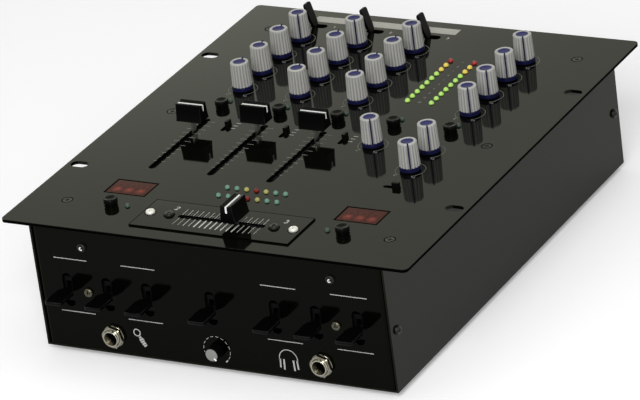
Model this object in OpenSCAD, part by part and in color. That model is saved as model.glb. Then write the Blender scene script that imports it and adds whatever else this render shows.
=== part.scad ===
// Three-channel mixer for disc jockeys, 10 inch format.
// Origin: middle of the four mounting slots, on the underside of the top plate.
// X runs to the right, Y to the rear and Z up. Every length is in millimetres.
//
// Each control is drawn in its own frame: the origin is on the outer face of the panel
// that it comes through, +Z points out of the panel, and the circuit board lies at -board_depth.

/* [Top plate] */
// Width of the top plate
plate_w = 254; // [250:1:280]
// Depth of the top plate, front to rear
plate_d = 300; // [298:1:330]
// Thickness of the top plate
plate_t = 2; // [1.5:0.1:3]
// Corner radius of the top plate
plate_r = 3; // [1:0.5:8]

/* [Case] */
// Width over the side walls
case_w = 222; // [220:1:230]
// Overhang of the top plate in front of the front panel and behind the rear panel
overhang = 3.5; // [1:0.5:5]
// Height of the case below the top plate
case_h = 76; // [75:1:90]
// Thickness of the case sheet
sheet_t = 1.2; // [1:0.1:1.6]
// Outer bend radius of the front and rear panels
bend_r = 2.4; // [2:0.1:4]
// Gap between the folded panels and the side walls
seam_gap = 0.3; // [0.2:0.05:0.6]
// Length of the flanges folded back from the front and rear panels
flange_l = 14; // [12:1:20]
// Width of the rails at the top of the side walls
rail_w = 15; // [13:1:18]

/* [Mounting slots] */
// Distance from a side edge of the plate to the slot centres
mount_inset = 8; // [7:0.5:10]
// Distance between the front and rear slots
mount_dy = 152.4; // [140:0.1:180]
// Length of a mounting slot
mount_slot_l = 11; // [8:0.5:12]
// Width of a mounting slot
mount_slot_w = 7; // [5:0.5:7.5]

/* [Feet] */
// Height of a rubber foot
foot_h = 4; // [3:0.5:10]
// Diameter of a rubber foot
foot_d = 18; // [14:1:24]
// Distance from the case edges to the foot centres
foot_inset = 24; // [16:1:35]

/* [Layout of the top] */
// Place of the first channel column
first_column_x = -75; // [-80:0.5:-70]
// Distance between the channel columns
channel_pitch = 38; // [36:0.5:40]
// Place of the cue column, between the third channel and the outputs
cue_column_x = 37; // [36:0.5:40]
// Place of the output column
output_column_x = 73; // [70:0.5:76]
// Row of the bass knobs
bass_row_y = 37; // [35:0.5:40]
// Distance between the knob rows
knob_pitch = 24; // [20:0.5:25]
// Row of the cue knobs
cue_knob_y = -14; // [-16:0.5:-12]
// Row of the round cue buttons
cue_button_y = 12; // [10:0.5:14]
// Distance from a cue button to its lamp
cue_lamp_dy = 8; // [6:0.5:9]
// Row of the input levers
input_lever_y = 129; // [127:0.5:131]
// Offset of an input lever from its column
input_lever_dx = 1.5; // [0:0.5:3]
// Offset of an assign switch from its column
assign_dx = 16; // [14:0.5:18]
// Row of the assign switches
assign_y = -12; // [-20:0.5:-10]
// Row of the meter switch
meter_switch_y = -60.5; // [-64:0.5:-56]
// Middle of the channel fader slots
fader_y = -38; // [-40:0.5:-36]
// Row of the crossfader
crossfader_y = -123.4; // [-126:0.1:-122]
// Distance from a side of the case to the middle of its display
display_inset = 38; // [31:0.5:43]
// Row of the two displays
display_y = -96.5; // [-100:0.5:-94]
// Row of the beat buttons
beat_button_y = -119; // [-122:0.5:-116]
// Distance from a beat button to its lamp
beat_lamp_dx = 10; // [7:0.5:13]
// Front lamp row of the crossfader display
beat_row_y = -93.6; // [-96:0.1:-90]
// Distance between the two lamp rows of the crossfader display
beat_row_dy = 10.2; // [6:0.1:12]
// Distance between the lamps in those rows
beat_pitch = 6.15; // [5:0.05:7]
// Lowest lamp of the level meter
meter_y = 44.2; // [42:0.1:48]
// Distance between the lamps of the level meter
meter_pitch = 6.2; // [5:0.05:6.4]
// Distance between the two columns of the level meter
meter_dx = 15.4; // [12:0.1:18]

/* [Layout of the front] */
// Depth of the kill levers below the top of the plate
kill_drop = 41.2; // [36:0.5:44]
// Distance from a side of the case to the first kill lever
kill_inset = 19.8; // [16:0.1:24]
// Distance between the kill levers of one channel
kill_pitch = 25.5; // [22:0.5:27]
// Height of the sockets and the curve knob above the underside of the case
socket_rise = 11.2; // [10.5:0.1:14]
// Distance from a side of the case to its jack socket
socket_inset = 45.2; // [38:0.1:51]
// Distance from a side of the case to the front screws
front_screw_inset = 33; // [31:0.5:35]
// Depth of the upper front screws below the top of the plate
front_screw_drop = 13.3; // [11:0.1:16]

/* [Knobs] */
// Height of a knob above the plate
knob_h = 17.8; // [15:0.1:22]
// Diameter of the grip at its foot
knob_d = 12; // [11:0.1:14]
// Diameter of the grip at its top
knob_top_d = 10.7; // [9.5:0.1:12]
// Diameter of the skirt
skirt_d = 12.4; // [12:0.1:15]
// Height of the skirt
skirt_h = 2.4; // [1.5:0.1:4]
// Diameter of the disc in the top
disc_d = 7.2; // [6:0.1:8]
// Number of flutes around the grip
flutes = 18; // [12:1:24]
// Width of the pointer line
pointer_w = 0.9; // [0.6:0.1:1.4]
// Diameter of the curve knob
curve_knob_d = 9; // [8:0.1:12]
// Length of the curve knob
curve_knob_h = 6; // [5:0.5:10]

/* [Faders] */
// Travel of a channel fader
fader_travel = 60; // [45:1:60]
// Travel of the crossfader
cross_travel = 45; // [30:1:45]
// Length of a fader cap across its travel
cap_w = 15.5; // [12:0.5:18]
// Depth of a fader cap at its foot
cap_foot = 10; // [8:0.5:12]
// Depth of a fader cap at its top
cap_top = 7; // [5:0.5:9]
// Height of a fader cap
cap_h = 10.5; // [8:0.5:13]
// Depth of the finger groove along a fader cap
cap_groove = 1; // [0.5:0.1:2]
// Height of a channel fader cap above the plate
cap_rise = 7.5; // [4:0.5:9]
// Height of the crossfader cap above the plate
cross_cap_rise = 4.6; // [3:0.1:6]
// Length of a fader stem along its travel
stem_l = 4; // [3:0.5:5]
// Thickness of a fader stem
stem_t = 1.4; // [1:0.1:1.8]
// Room beyond the stem at each end of a channel fader slot
fader_room = 0.6; // [0.5:0.1:2]
// Room beyond the stem at each end of the crossfader slot
cross_room = 1.8; // [0.5:0.1:3]
// Width of a fader slot
slot_w = 3; // [2.6:0.1:4]
// Length of the crossfader plate
cross_plate_w = 100; // [96:1:106]
// Depth of the crossfader plate
cross_plate_d = 32; // [26:1:34]
// Thickness of the crossfader plate
cross_plate_t = 0.8; // [0.5:0.1:1.5]

/* [Levers, buttons and slide switches] */
// Reach of a kill lever out of the front panel
kill_reach = 18; // [12:0.5:24]
// Width of a kill lever at its tip
kill_tip_w = 10.6; // [6:0.1:14]
// Width of a kill lever where it leaves the panel
kill_root_w = 5.6; // [3:0.1:6]
// Reach of an input lever out of the top plate
input_reach = 15.5; // [10:0.5:18]
// Width of an input lever at its tip
input_tip_w = 6.6; // [4.6:0.1:8]
// Width of an input lever where it leaves the plate
input_root_w = 4.4; // [3:0.1:4.6]
// Thickness of a lever
lever_t = 1.9; // [1.4:0.1:2.4]
// Width of a lever inside its switch
neck_w = 2.4; // [2:0.1:2.6]
// Swing of an input lever to each side
input_swing = 16; // [10:1:18]
// Swing of a kill lever to each side
kill_swing = 18; // [10:1:18]
// Depth of a lever's pivot below the panel face
pivot_depth = 9; // [8.5:0.1:9.5]
// Length of an input lever slot
input_slot_l = 11; // [10:0.5:14]
// Width of an input lever slot
input_slot_w = 5.4; // [5.2:0.1:6]
// Height of a kill lever slot
kill_slot_l = 20.6; // [16:0.1:22]
// Width of a kill lever slot
kill_slot_w = 6.4; // [6.2:0.1:8]
// Diameter of a round button
button_d = 7; // [5:0.1:8]
// Height of a round button above the plate
button_h = 4.7; // [3:0.1:7]
// Travel of a round button
button_travel = 1.5; // [0.5:0.1:2]
// Length of a slide switch slot
slide_slot_l = 11; // [10:0.5:12]
// Travel of a slide switch
slide_travel = 5; // [3:0.5:5]
// Height of a slide switch knob above the plate
slide_knob_h = 3.2; // [2:0.1:5]

/* [Lamps and displays] */
// Diameter of a lamp
lamp_d = 3; // [2:0.1:3.4]
// Height of a lamp above the plate
lamp_h = 1.7; // [1.5:0.1:3]
// Width of a display window
display_w = 26.8; // [22:0.1:30]
// Depth of a display window
display_d = 17.5; // [14:0.1:20]

/* [Sockets and rear] */
// Bore of a headphone or microphone socket
jack_bore = 6.5; // [6.4:0.05:6.6]
// Diameter of its threaded sleeve
jack_sleeve_d = 9.4; // [9:0.1:10]
// Length of the sleeve in front of the panel
jack_sleeve_l = 4.5; // [3.5:0.1:6]
// Depth of a socket body behind the panel face
jack_depth = 28; // [24:0.5:32]
// Width across the flats of its nut
jack_nut = 12; // [11.5:0.5:14]
// Diameter of a phono socket
phono_d = 8.3; // [8.2:0.05:8.4]
// Length of a phono socket behind the rear panel
phono_l = 9; // [7:0.5:10]
// Distance between the phono socket columns
phono_pitch = 16; // [13:0.5:17]
// Distance between the two rows of phono sockets
phono_row_dz = 20; // [16:0.5:24]
// Height of the middle of the phono sockets above the underside of the case
phono_rise = 36; // [30:0.5:42]
// Bore of the low-voltage inlet
inlet_bore = 5.6; // [5.5:0.05:5.8]
// Distance from a side of the case to the inlet and rocker, or the earth post
rear_inset = 21; // [19:0.5:23]

/* [Supply board] */
// Width of the supply board
supply_w = 90; // [70:1:100]
// Depth of the supply board
supply_d = 70; // [60:1:80]
// Height of its spacers
spacer_h = 5; // [3:0.5:10]
// Height of its heat sink
sink_h = 24; // [15:1:35]

/* [Clearances] */
// Depth of a circuit board below the face of the panel it serves
board_depth = 14; // [13.5:0.1:16]
// Radial clearance of a shaft or pivot in its bearing
run_fit = 0.08; // [0.03:0.01:0.1]
// Clearance of a sliding piece on each side
slide_fit = 0.3; // [0.2:0.05:0.4]
// Radial clearance around a piece that comes through a panel
panel_clear = 0.4; // [0.2:0.05:0.5]

/* [Hidden] */
$fn = 48;
eps = 0.01;

// Heights count from the plate's underside
z_under = 0;
z_top = z_under + plate_t;
z_base = z_under - case_h;
z_floor = z_base - foot_h;
y_rear = plate_d / 2 - overhang;
y_front = -y_rear;
panel_w = case_w - 2 * (sheet_t + seam_gap);
panel_z = z_base + sheet_t + seam_gap;
panel_h = z_under - panel_z;

screw_d = 3;
screw_head_d = 5.6;
screw_head_h = 1.7;
foot_seat = screw_head_h + 0.6;
screw_fit = 0.1;
post_d = 6.5;
board_t = 1.6;
board_edge = 6;
board_gap = 0.4;

CHANNELS = [0:2];
function channel_x(i) = first_column_x + i * channel_pitch;
function row_y(j) = bass_row_y + j * knob_pitch;
function deck_x(i) = (i < 3) ? channel_x(i) : (i == 3) ? cue_column_x : output_column_x;

// Knobs: full turn to the right points to five o'clock, an equaliser knob rests at twelve
FULL_TURN = 150;
channel_knobs = [for (i = CHANNELS, j = [3:-1:0]) [channel_x(i), row_y(j), (j == 3) ? FULL_TURN : 0]];
output_knobs = [for (j = [3:-1:0]) [output_column_x, row_y(j), FULL_TURN]];
cue_knobs = [
    [cue_column_x, cue_knob_y, FULL_TURN],
    [output_column_x, cue_knob_y, FULL_TURN],
    [output_column_x, cue_knob_y - knob_pitch, FULL_TURN]
];
KNOBS = concat(channel_knobs, output_knobs, cue_knobs);
KNOB_NAMES = [
    "gain_knob_1", "treble_knob_1", "middle_knob_1", "bass_knob_1",
    "gain_knob_2", "treble_knob_2", "middle_knob_2", "bass_knob_2",
    "gain_knob_3", "treble_knob_3", "middle_knob_3", "bass_knob_3",
    "master_knob", "balance_knob", "booth_knob", "mic_knob",
    "cue_mix_knob", "phones_knob", "cue_tone_knob"
];

// Channel faders stand near the rear end of their slots, the crossfader right of the middle
fader_rest = [13, 6, 6];
cross_rest = 9;

display_x = case_w / 2 - display_inset;
beat_lamp_x = display_x - beat_lamp_dx;
socket_x = case_w / 2 - socket_inset;
front_screw_x = case_w / 2 - front_screw_inset;
rear_side_x = case_w / 2 - rear_inset;
BUTTONS = concat(
    [for (i = [0:4]) [deck_x(i), cue_button_y]],
    [[-display_x, beat_button_y], [display_x, beat_button_y]]
);
BUTTON_NAMES = [
    "cue_button_1", "cue_button_2", "cue_button_3", "cue_button_4", "cue_button_5",
    "beat_button_left", "beat_button_right"
];

kill_side = [for (j = [2:-1:0]) case_w / 2 - kill_inset - j * kill_pitch];
KILLS = concat([for (j = [2:-1:0]) -kill_side[j]], [0], kill_side);
KILL_NAMES = [
    "bass_kill_left", "middle_kill_left", "treble_kill_left", "reverse_lever",
    "bass_kill_right", "middle_kill_right", "treble_kill_right"
];
kill_z = z_top - kill_drop;
socket_z = z_base + socket_rise;

cue_lamps = [for (i = [0:4]) [deck_x(i) + 1, cue_button_y + cue_lamp_dy]];
beat_lamps = [[-beat_lamp_x, beat_button_y + 1], [beat_lamp_x, beat_button_y + 1]];
beat_rows = [for (r = [0:1], i = [-3:3]) [i * beat_pitch, beat_row_y + r * beat_row_dy]];
meter_lamps = [for (s = [-0.5, 0.5], i = [0:9]) [cue_column_x + s * meter_dx, meter_y + i * meter_pitch]];
LAMPS = concat(cue_lamps, beat_lamps, beat_rows, meter_lamps);

rail_edge = 1.9;
plate_screw_inset = 31;
plate_screw_x = case_w / 2 - rail_w / 2 - rail_edge;
plate_screw_y = plate_d / 2 - plate_screw_inset;
PLATE_SCREWS = [for (x = [-1, 1], y = [-1, 0, 1]) [x * plate_screw_x, y * plate_screw_y]];
FRONT_SCREWS = [for (x = [-1, 1], z = [front_screw_drop, kill_drop]) [x * front_screw_x, z_top - z]];
side_screw_y = y_rear - flange_l / 2;
side_screw_z = z_under - case_h / 2 - 3;
cross_screw_x = cross_plate_w / 2 - 5;
cross_body_screw_x = cross_travel / 2 + 10.5;
FEET = [for (x = [-1, 1], y = [-1, 1]) [x * (case_w / 2 - foot_inset), y * (y_rear - foot_inset)]];

PHONO_COLUMNS = [-4:4];
phono_z = z_base + phono_rise;
rear_post_x = 7 * phono_pitch / 2;

pot_w = 12;
pot_h = 6.5;
pot_floor = 2;
bushing_d = 9;
shaft_d = 6;
shaft_foot = -board_depth + pot_floor + slide_fit;
knob_gap = 0.6;
knob_core = 4.5;
rim_w = 0.6;
rim_h = 0.7;
rim_r = knob_top_d / 2 + 0.1;
line_start = disc_d / 2 - 0.3;
flute_lift = 0.6;
flute_r = 0.62;
flute_sink = 0.24;
groove_depth = 0.5;

track_w = 12;
track_wall = 1.5;
track_top = -plate_t - 0.3;
fader_track_end = 7;
cross_track_end = 10;
shoe_w = track_w - 2 * (track_wall + slide_fit);
shoe_l = 9;
shoe_h = 4;
shoe_foot = -board_depth + track_wall + slide_fit;
cap_socket = 5;
fader_slot_l = fader_travel + stem_l + 2 * fader_room;
cross_slot_l = cross_travel + stem_l + 2 * cross_room;

switch_w = 10;
switch_l = 15;
switch_wall = 1.4;
hub_d = 5.4;
pin_d = 2;
plunger_w = 3;
slider_w = 5;
slider_l = 5.2;
slider_neck_w = 2.2;
slider_neck_l = 4.5;

lens_lip = 1.6;
lens_t = 1;
lens_clear = 0.2;

washer_t = 0.8;
jack_nut_t = 2.2;
jack_wall = 1;
jack_flare = 0.5;
jack_body_w = 14;
jack_body_h = 13;
phono_wall = 0.7;
phono_lip = 2;
phono_bore = 3.4;
phono_foot_h = 6;
inlet_body_d = 11;
inlet_depth = 10;
earth_d = 4;
rocker_hole_w = 13;
rocker_hole_h = 19;
rocker_w = 9;
rocker_l = 15;
rocker_tilt = 8;
rocker_pivot = 2;

// ---------------------------------------------------------------- frames and small shapes

module on_plate(at) {
    translate([at.x, at.y, z_top]) children();
}

module on_front(x, z) {
    translate([x, y_front, z]) rotate([90, 0, 0]) children();
}

module on_rear(x, z) {
    translate([x, y_rear, z]) rotate([-90, 0, 0]) children();
}

module on_side(sign, y, z) {
    translate([sign * case_w / 2, y, z]) rotate([0, sign * 90, 0]) children();
}

// A block centred on X and Y, from z0 to z1
module block(x, y, z0, z1) {
    translate([-x / 2, -y / 2, z0]) cube([x, y, z1 - z0]);
}

// A slot with round ends, its length along Y, from z0 to z1
module slot(l, w, z0, z1) {
    block(w, l - w, z0, z1);
    for (s = [-1, 1]) translate([0, s * (l - w) / 2, z0]) cylinder(d = w, h = z1 - z0);
}

// A plate with round corners, centred on X and Y, from z0 to z1
module rounded_block(x, y, r, z0, z1) {
    block(x - 2 * r, y, z0, z1);
    block(x, y - 2 * r, z0, z1);
    for (sx = [-1, 1], sy = [-1, 1])
        translate([sx * (x / 2 - r), sy * (y / 2 - r), z0]) cylinder(r = r, h = z1 - z0);
}

module ring(d_out, d_in, z0, z1) {
    translate([0, 0, z0]) difference() {
        cylinder(d = d_out, h = z1 - z0);
        translate([0, 0, -1]) cylinder(d = d_in, h = z1 - z0 + 2);
    }
}

// A pan-head screw: its head stands on z = 0 and its shank goes down
module pan_screw(l) {
    difference() {
        union() {
            cylinder(d1 = screw_head_d, d2 = screw_head_d - 1.4, h = screw_head_h);
            translate([0, 0, -l]) cylinder(d = screw_d, h = l + eps);
        }
        for (a = [0, 90]) rotate([0, 0, a]) block(0.8, 3, screw_head_h - 1, screw_head_h + 1);
    }
}

// A countersunk screw: its head is level with z = 0
module flush_screw(l) {
    difference() {
        union() {
            translate([0, 0, -plate_t + eps]) cylinder(d1 = screw_d, d2 = screw_head_d, h = plate_t - eps);
            translate([0, 0, -l]) cylinder(d = screw_d, h = l - plate_t + 2 * eps);
        }
        for (a = [0, 90]) rotate([0, 0, a]) block(0.8, 3, -1, 1);
    }
}

// ---------------------------------------------------------------- case

module top_panel() {
    color([0.10, 0.10, 0.10]) difference() {
        translate([0, 0, z_top]) rounded_block(plate_w, plate_d, plate_r, -plate_t, 0);
        for (x = [-1, 1], y = [-1, 1])
            on_plate([x * (plate_w / 2 - mount_inset), y * mount_dy / 2])
                rotate([0, 0, 90]) slot(mount_slot_l, mount_slot_w, -plate_t - 1, 1);
        for (s = PLATE_SCREWS) on_plate(s) {
            translate([0, 0, -plate_t])
                cylinder(d1 = screw_d, d2 = screw_head_d + 2 * eps, h = plate_t + eps);
            translate([0, 0, -plate_t - 1]) cylinder(d = screw_d + 2 * screw_fit, h = plate_t + 1);
        }
        for (k = KNOBS) on_plate(k) translate([0, 0, -plate_t - 1])
            cylinder(d = shaft_d + 2 * panel_clear, h = plate_t + 2);
        for (b = BUTTONS) on_plate(b) translate([0, 0, -plate_t - 1])
            cylinder(d = button_d + 2 * panel_clear, h = plate_t + 2);
        for (p = LAMPS) on_plate(p) translate([0, 0, -plate_t - 1])
            cylinder(d = lamp_d + 0.2, h = plate_t + 2);
        for (i = CHANNELS) {
            on_plate([channel_x(i), fader_y]) slot(fader_slot_l, slot_w, -plate_t - 1, 1);
            on_plate([channel_x(i) + assign_dx, assign_y]) slot(slide_slot_l, slot_w, -plate_t - 1, 1);
            on_plate([channel_x(i) + input_lever_dx, input_lever_y])
                rotate([0, 0, 90]) slot(input_slot_l, input_slot_w, -plate_t - 1, 1);
        }
        on_plate([output_column_x, meter_switch_y])
            rotate([0, 0, 90]) slot(slide_slot_l, slot_w, -plate_t - 1, 1);
        for (s = [-1, 1]) {
            on_plate([s * display_x, display_y]) block(display_w, display_d, -plate_t - 1, 1);
            on_plate([s * cross_screw_x, crossfader_y]) translate([0, 0, -plate_t - 1])
                cylinder(d = screw_d + 2 * screw_fit, h = plate_t + 2);
        }
        on_plate([0, crossfader_y])
            block(2 * (cross_screw_x - 4), track_w + 2, -plate_t - 1, 1);
    }
}

// A panel with flanges folded back along both sides; its outer face is on z = 0 and it hangs down
module folded_panel() {
    difference() {
        union() {
            block(panel_w - 2 * bend_r, panel_h, -sheet_t, 0);
            for (s = [-1, 1]) {
                translate([s * (panel_w / 2 - sheet_t / 2), 0, 0])
                    block(sheet_t, panel_h, -flange_l, -bend_r);
                translate([s * (panel_w / 2 - bend_r), 0, -bend_r]) rotate([90, 0, 0])
                    intersection() {
                        ring(2 * bend_r, 2 * (bend_r - sheet_t), -panel_h / 2, panel_h / 2);
                        translate([s * bend_r, bend_r, 0])
                            block(2 * bend_r, 2 * bend_r, -panel_h, panel_h);
                    }
            }
        }
        for (s = [-1, 1]) translate([s * panel_w / 2, side_screw_z - panel_z - panel_h / 2, -flange_l / 2])
            rotate([0, 90, 0]) cylinder(d = screw_d + 2 * screw_fit, h = 6, center = true);
    }
}

module front_panel() {
    color([0.06, 0.06, 0.06]) difference() {
        on_front(0, panel_z + panel_h / 2) folded_panel();
        for (x = KILLS) on_front(x, kill_z) slot(kill_slot_l, kill_slot_w, -sheet_t - 1, 1);
        for (s = [-1, 1]) on_front(s * socket_x, socket_z) translate([0, 0, -sheet_t - 1])
            cylinder(d = jack_sleeve_d + 2 * screw_fit, h = sheet_t + 2);
        on_front(0, socket_z) translate([0, 0, -sheet_t - 1])
            cylinder(d = shaft_d + 2 * panel_clear, h = sheet_t + 2);
        for (s = FRONT_SCREWS) on_front(s[0], s[1]) translate([0, 0, -sheet_t - 1])
            cylinder(d = screw_d + 2 * screw_fit, h = sheet_t + 2);
    }
}

module rear_panel() {
    color([0.08, 0.08, 0.08]) difference() {
        on_rear(0, panel_z + panel_h / 2) mirror([0, 1, 0]) folded_panel();
        for (i = PHONO_COLUMNS, s = [-0.5, 0.5])
            on_rear(i * phono_pitch, phono_z + s * phono_row_dz) translate([0, 0, -sheet_t - 1])
                cylinder(d = phono_d + 0.4, h = sheet_t + 2);
        on_rear(rear_side_x, phono_z + phono_row_dz / 2)
            block(rocker_hole_w, rocker_hole_h, -sheet_t - 1, 1);
        on_rear(rear_side_x, phono_z - phono_row_dz / 2) translate([0, 0, -sheet_t - 1])
            cylinder(d = inlet_body_d + 0.4, h = sheet_t + 2);
        on_rear(-rear_side_x, phono_z) translate([0, 0, -sheet_t - 1])
            cylinder(d = earth_d + 0.4, h = sheet_t + 2);
        for (s = [-1, 1]) on_rear(s * rear_post_x, phono_z) translate([0, 0, -sheet_t - 1])
            cylinder(d = screw_d + 2 * screw_fit, h = sheet_t + 2);
    }
}

// Floor and side walls folded from one sheet, with a rail under the plate along each side
module bottom_cover() {
    color([0.20, 0.20, 0.20]) difference() {
        union() {
            translate([0, 0, z_base]) block(case_w, 2 * y_rear, 0, sheet_t);
            for (s = [-1, 1]) {
                translate([s * (case_w / 2 - sheet_t / 2), 0, z_base])
                    block(sheet_t, 2 * y_rear, 0, case_h);
                translate([s * (case_w / 2 - rail_w / 2), 0, z_under])
                    block(rail_w, 2 * (y_rear - flange_l - 1), -sheet_t, 0);
            }
        }
        for (s = PLATE_SCREWS) translate([s.x, s.y, z_under - sheet_t - 1])
            cylinder(d = screw_d + 2 * screw_fit, h = sheet_t + 2);
        for (f = FEET) translate([f.x, f.y, z_base - 1])
            cylinder(d = screw_d + 2 * screw_fit, h = sheet_t + 2);
        for (s = [-1, 1], y = [-1, 1]) on_side(s, y * side_screw_y, side_screw_z)
            translate([0, 0, -sheet_t - 1]) cylinder(d = screw_d + 2 * screw_fit, h = sheet_t + 2);
    }
}

module crossfader_plate() {
    color([0.10, 0.10, 0.10]) difference() {
        on_plate([0, crossfader_y]) block(cross_plate_w, cross_plate_d, 0, cross_plate_t);
        on_plate([0, crossfader_y])
            rotate([0, 0, 90]) slot(cross_slot_l, slot_w, -1, cross_plate_t + 1);
        for (s = [-1, 1], x = [cross_screw_x, cross_body_screw_x])
            on_plate([s * x, crossfader_y]) translate([0, 0, -1])
                cylinder(d = screw_d + 2 * screw_fit, h = cross_plate_t + 2);
    }
}

module rubber_feet() {
    color([0.05, 0.05, 0.05]) for (f = FEET) translate([f.x, f.y, z_floor]) difference() {
        cylinder(d1 = foot_d - 2, d2 = foot_d, h = foot_h);
        translate([0, 0, -1]) cylinder(d = screw_head_d + 2, h = foot_seat + 1);
        cylinder(d = screw_d + 2 * screw_fit, h = foot_h + 1);
    }
}

module case_screws() {
    color([0.12, 0.12, 0.12]) {
        for (s = PLATE_SCREWS) on_plate(s) flush_screw(plate_t + sheet_t + 6);
        for (s = [-1, 1]) translate([0, 0, cross_plate_t])
            on_plate([s * cross_body_screw_x, crossfader_y]) pan_screw(cross_plate_t + plate_t + 4);
        for (s = [-1, 1], y = [-1, 1]) on_side(s, y * side_screw_y, side_screw_z) pan_screw(5);
        for (f = FEET) translate([f.x, f.y, z_floor + foot_seat]) rotate([180, 0, 0])
            pan_screw(foot_h - foot_seat + sheet_t + 2);
    }
    color([0.75, 0.75, 0.72]) {
        for (s = [-1, 1]) translate([0, 0, cross_plate_t])
            on_plate([s * cross_screw_x, crossfader_y]) pan_screw(cross_plate_t + plate_t + 1);
        for (s = FRONT_SCREWS) on_front(s[0], s[1]) pan_screw(sheet_t + 6);
        for (s = [-1, 1]) on_rear(s * rear_post_x, phono_z) pan_screw(sheet_t + 6);
    }
}

// ---------------------------------------------------------------- lamps and displays

module display_windows() {
    lens_w = display_w - 2 * lens_clear;
    lens_d = display_d - 2 * lens_clear;
    color([0.45, 0.05, 0.05]) for (s = [-1, 1]) on_plate([s * display_x, display_y]) {
        block(lens_w, lens_d, -plate_t, -0.1);
        block(lens_w + 2 * lens_lip, lens_d + 2 * lens_lip, -plate_t - lens_t, -plate_t);
    }
}

// A lamp with a dome, a lip under the plate and two leads down to the board
module lamp() {
    dome_r = lamp_d / 2;
    lip_t = 0.8;
    union() {
        translate([0, 0, -plate_t - lip_t]) cylinder(d = lamp_d + 0.8, h = lip_t);
        translate([0, 0, -plate_t - lip_t]) cylinder(d = lamp_d, h = plate_t + lip_t + lamp_h - dome_r);
        translate([0, 0, lamp_h - dome_r]) sphere(d = lamp_d);
        for (s = [-1, 1]) translate([s * 0.9, 0, 0]) block(0.5, 0.5, -board_depth, -plate_t - lip_t + eps);
    }
}

module lamps() {
    for (i = [0:len(LAMPS) - 1])
        color((i < 7) ? [0.2, 0.35, 0.28] : [0.3, 0.75, 0.2]) on_plate(LAMPS[i]) lamp();
}

// ---------------------------------------------------------------- boards and fixed bodies

module board_post(l) {
    ring(post_d, screw_d + 2 * screw_fit, 0, l);
}

module circuit_boards() {
    front_top = z_top - front_screw_drop + post_d / 2;
    front_low = socket_z - pot_w / 2;
    front_w = panel_w - 2 * (sheet_t + 1);
    rear_w = 2 * (rear_side_x + 8);
    rear_board_room = 24;
    main_d = 2 * (y_rear - board_depth - board_t - board_gap);
    color([0.10, 0.30, 0.16]) {
        on_plate([0, 0]) block(case_w - 2 * board_edge, main_d, -board_depth - board_t, -board_depth);
        difference() {
            on_front(0, (front_top + front_low) / 2)
                block(front_w, front_top - front_low, -board_depth - board_t, -board_depth);
            for (s = [-1, 1]) on_front(s * socket_x, socket_z)
                block(jack_body_w + 1, jack_body_h + 1, -jack_depth, 0);
        }
        on_rear(0, phono_z)
            block(rear_w, phono_row_dz + rear_board_room, -board_depth - board_t, -board_depth);
    }
    supply_board();
    color([0.7, 0.65, 0.4]) {
        for (s = PLATE_SCREWS) translate([s.x, s.y, z_top - board_depth])
            board_post(board_depth - plate_t - sheet_t);
        for (s = FRONT_SCREWS) on_front(s[0], s[1]) translate([0, 0, -board_depth])
            board_post(board_depth - sheet_t);
        for (s = [-1, 1]) on_rear(s * rear_post_x, phono_z) translate([0, 0, -board_depth])
            board_post(board_depth - sheet_t);
    }
    color([0.15, 0.15, 0.15]) for (s = [-1, 1]) on_plate([s * display_x, display_y])
        block(display_w, display_d, -board_depth, -plate_t - lens_t);
}

module rotary_pot(wall_t) {
    difference() {
        union() {
            block(pot_w, pot_w, -board_depth, -board_depth + pot_h);
            translate([0, 0, -board_depth]) cylinder(d = bushing_d, h = board_depth - wall_t - 0.5);
        }
        translate([0, 0, -board_depth + pot_floor]) cylinder(d = shaft_d + 2 * run_fit, h = board_depth);
    }
}

// A straight-line potentiometer, its track along Y
module slide_pot(travel, end) {
    difference() {
        block(track_w, travel + shoe_l + 2 * end, -board_depth, track_top);
        block(track_w - 2 * track_wall, travel + shoe_l + 2,
            track_wall - board_depth, track_top - track_wall);
        block(slot_w, travel + stem_l + 2, track_top - track_wall - 1, track_top + 1);
    }
}

module potentiometers() {
    color([0.35, 0.35, 0.38]) {
        for (k = KNOBS) on_plate(k) rotary_pot(plate_t);
        on_front(0, socket_z) rotary_pot(sheet_t);
    }
    color([0.55, 0.55, 0.55]) {
        for (i = CHANNELS) on_plate([channel_x(i), fader_y]) slide_pot(fader_travel, fader_track_end);
        on_plate([0, crossfader_y]) rotate([0, 0, 90]) difference() {
            slide_pot(cross_travel, cross_track_end);
            for (s = [-1, 1]) translate([0, s * cross_body_screw_x, -board_depth + track_wall])
                cylinder(d = screw_d + 2 * screw_fit, h = board_depth);
        }
    }
}

// Body of a lever switch: the lever swings along X about a pin along Y
module lever_switch(wall_t, swing) {
    top = -wall_t - 0.4;
    mouth = 2 * ((pivot_depth - wall_t) * tan(swing) + lever_t + 0.4);
    difference() {
        block(switch_l, switch_w, -board_depth, top);
        block(switch_l - 2 * switch_wall, switch_w - 4 * switch_wall, -board_depth + 1, top - 1);
        block(mouth, neck_w + 2 * slide_fit, top - 2, top + 1);
    }
    translate([0, 0, -pivot_depth]) rotate([90, 0, 0])
        cylinder(d = pin_d, h = switch_w - 3 * switch_wall, center = true);
}

module button_switch() {
    well = plunger_w + 2 * slide_fit;
    difference() {
        block(plunger_w + 4, plunger_w + 4, -board_depth, -board_depth + 6);
        block(well, well, -board_depth + 1, -board_depth + 7);
    }
}

// Body of a slide switch, its travel along Y
module slide_switch() {
    top = -plate_t - 0.4;
    cavity_l = slider_l + slide_travel + 1.2;
    difference() {
        block(slider_w + 3, cavity_l + 3, -board_depth, top);
        block(slider_w + 2 * slide_fit, cavity_l, -board_depth + track_wall, top - 1);
        block(slider_neck_w + 2 * slide_fit, slider_neck_l + slide_travel + 2 * slide_fit, top - 2, top + 1);
    }
}

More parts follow.
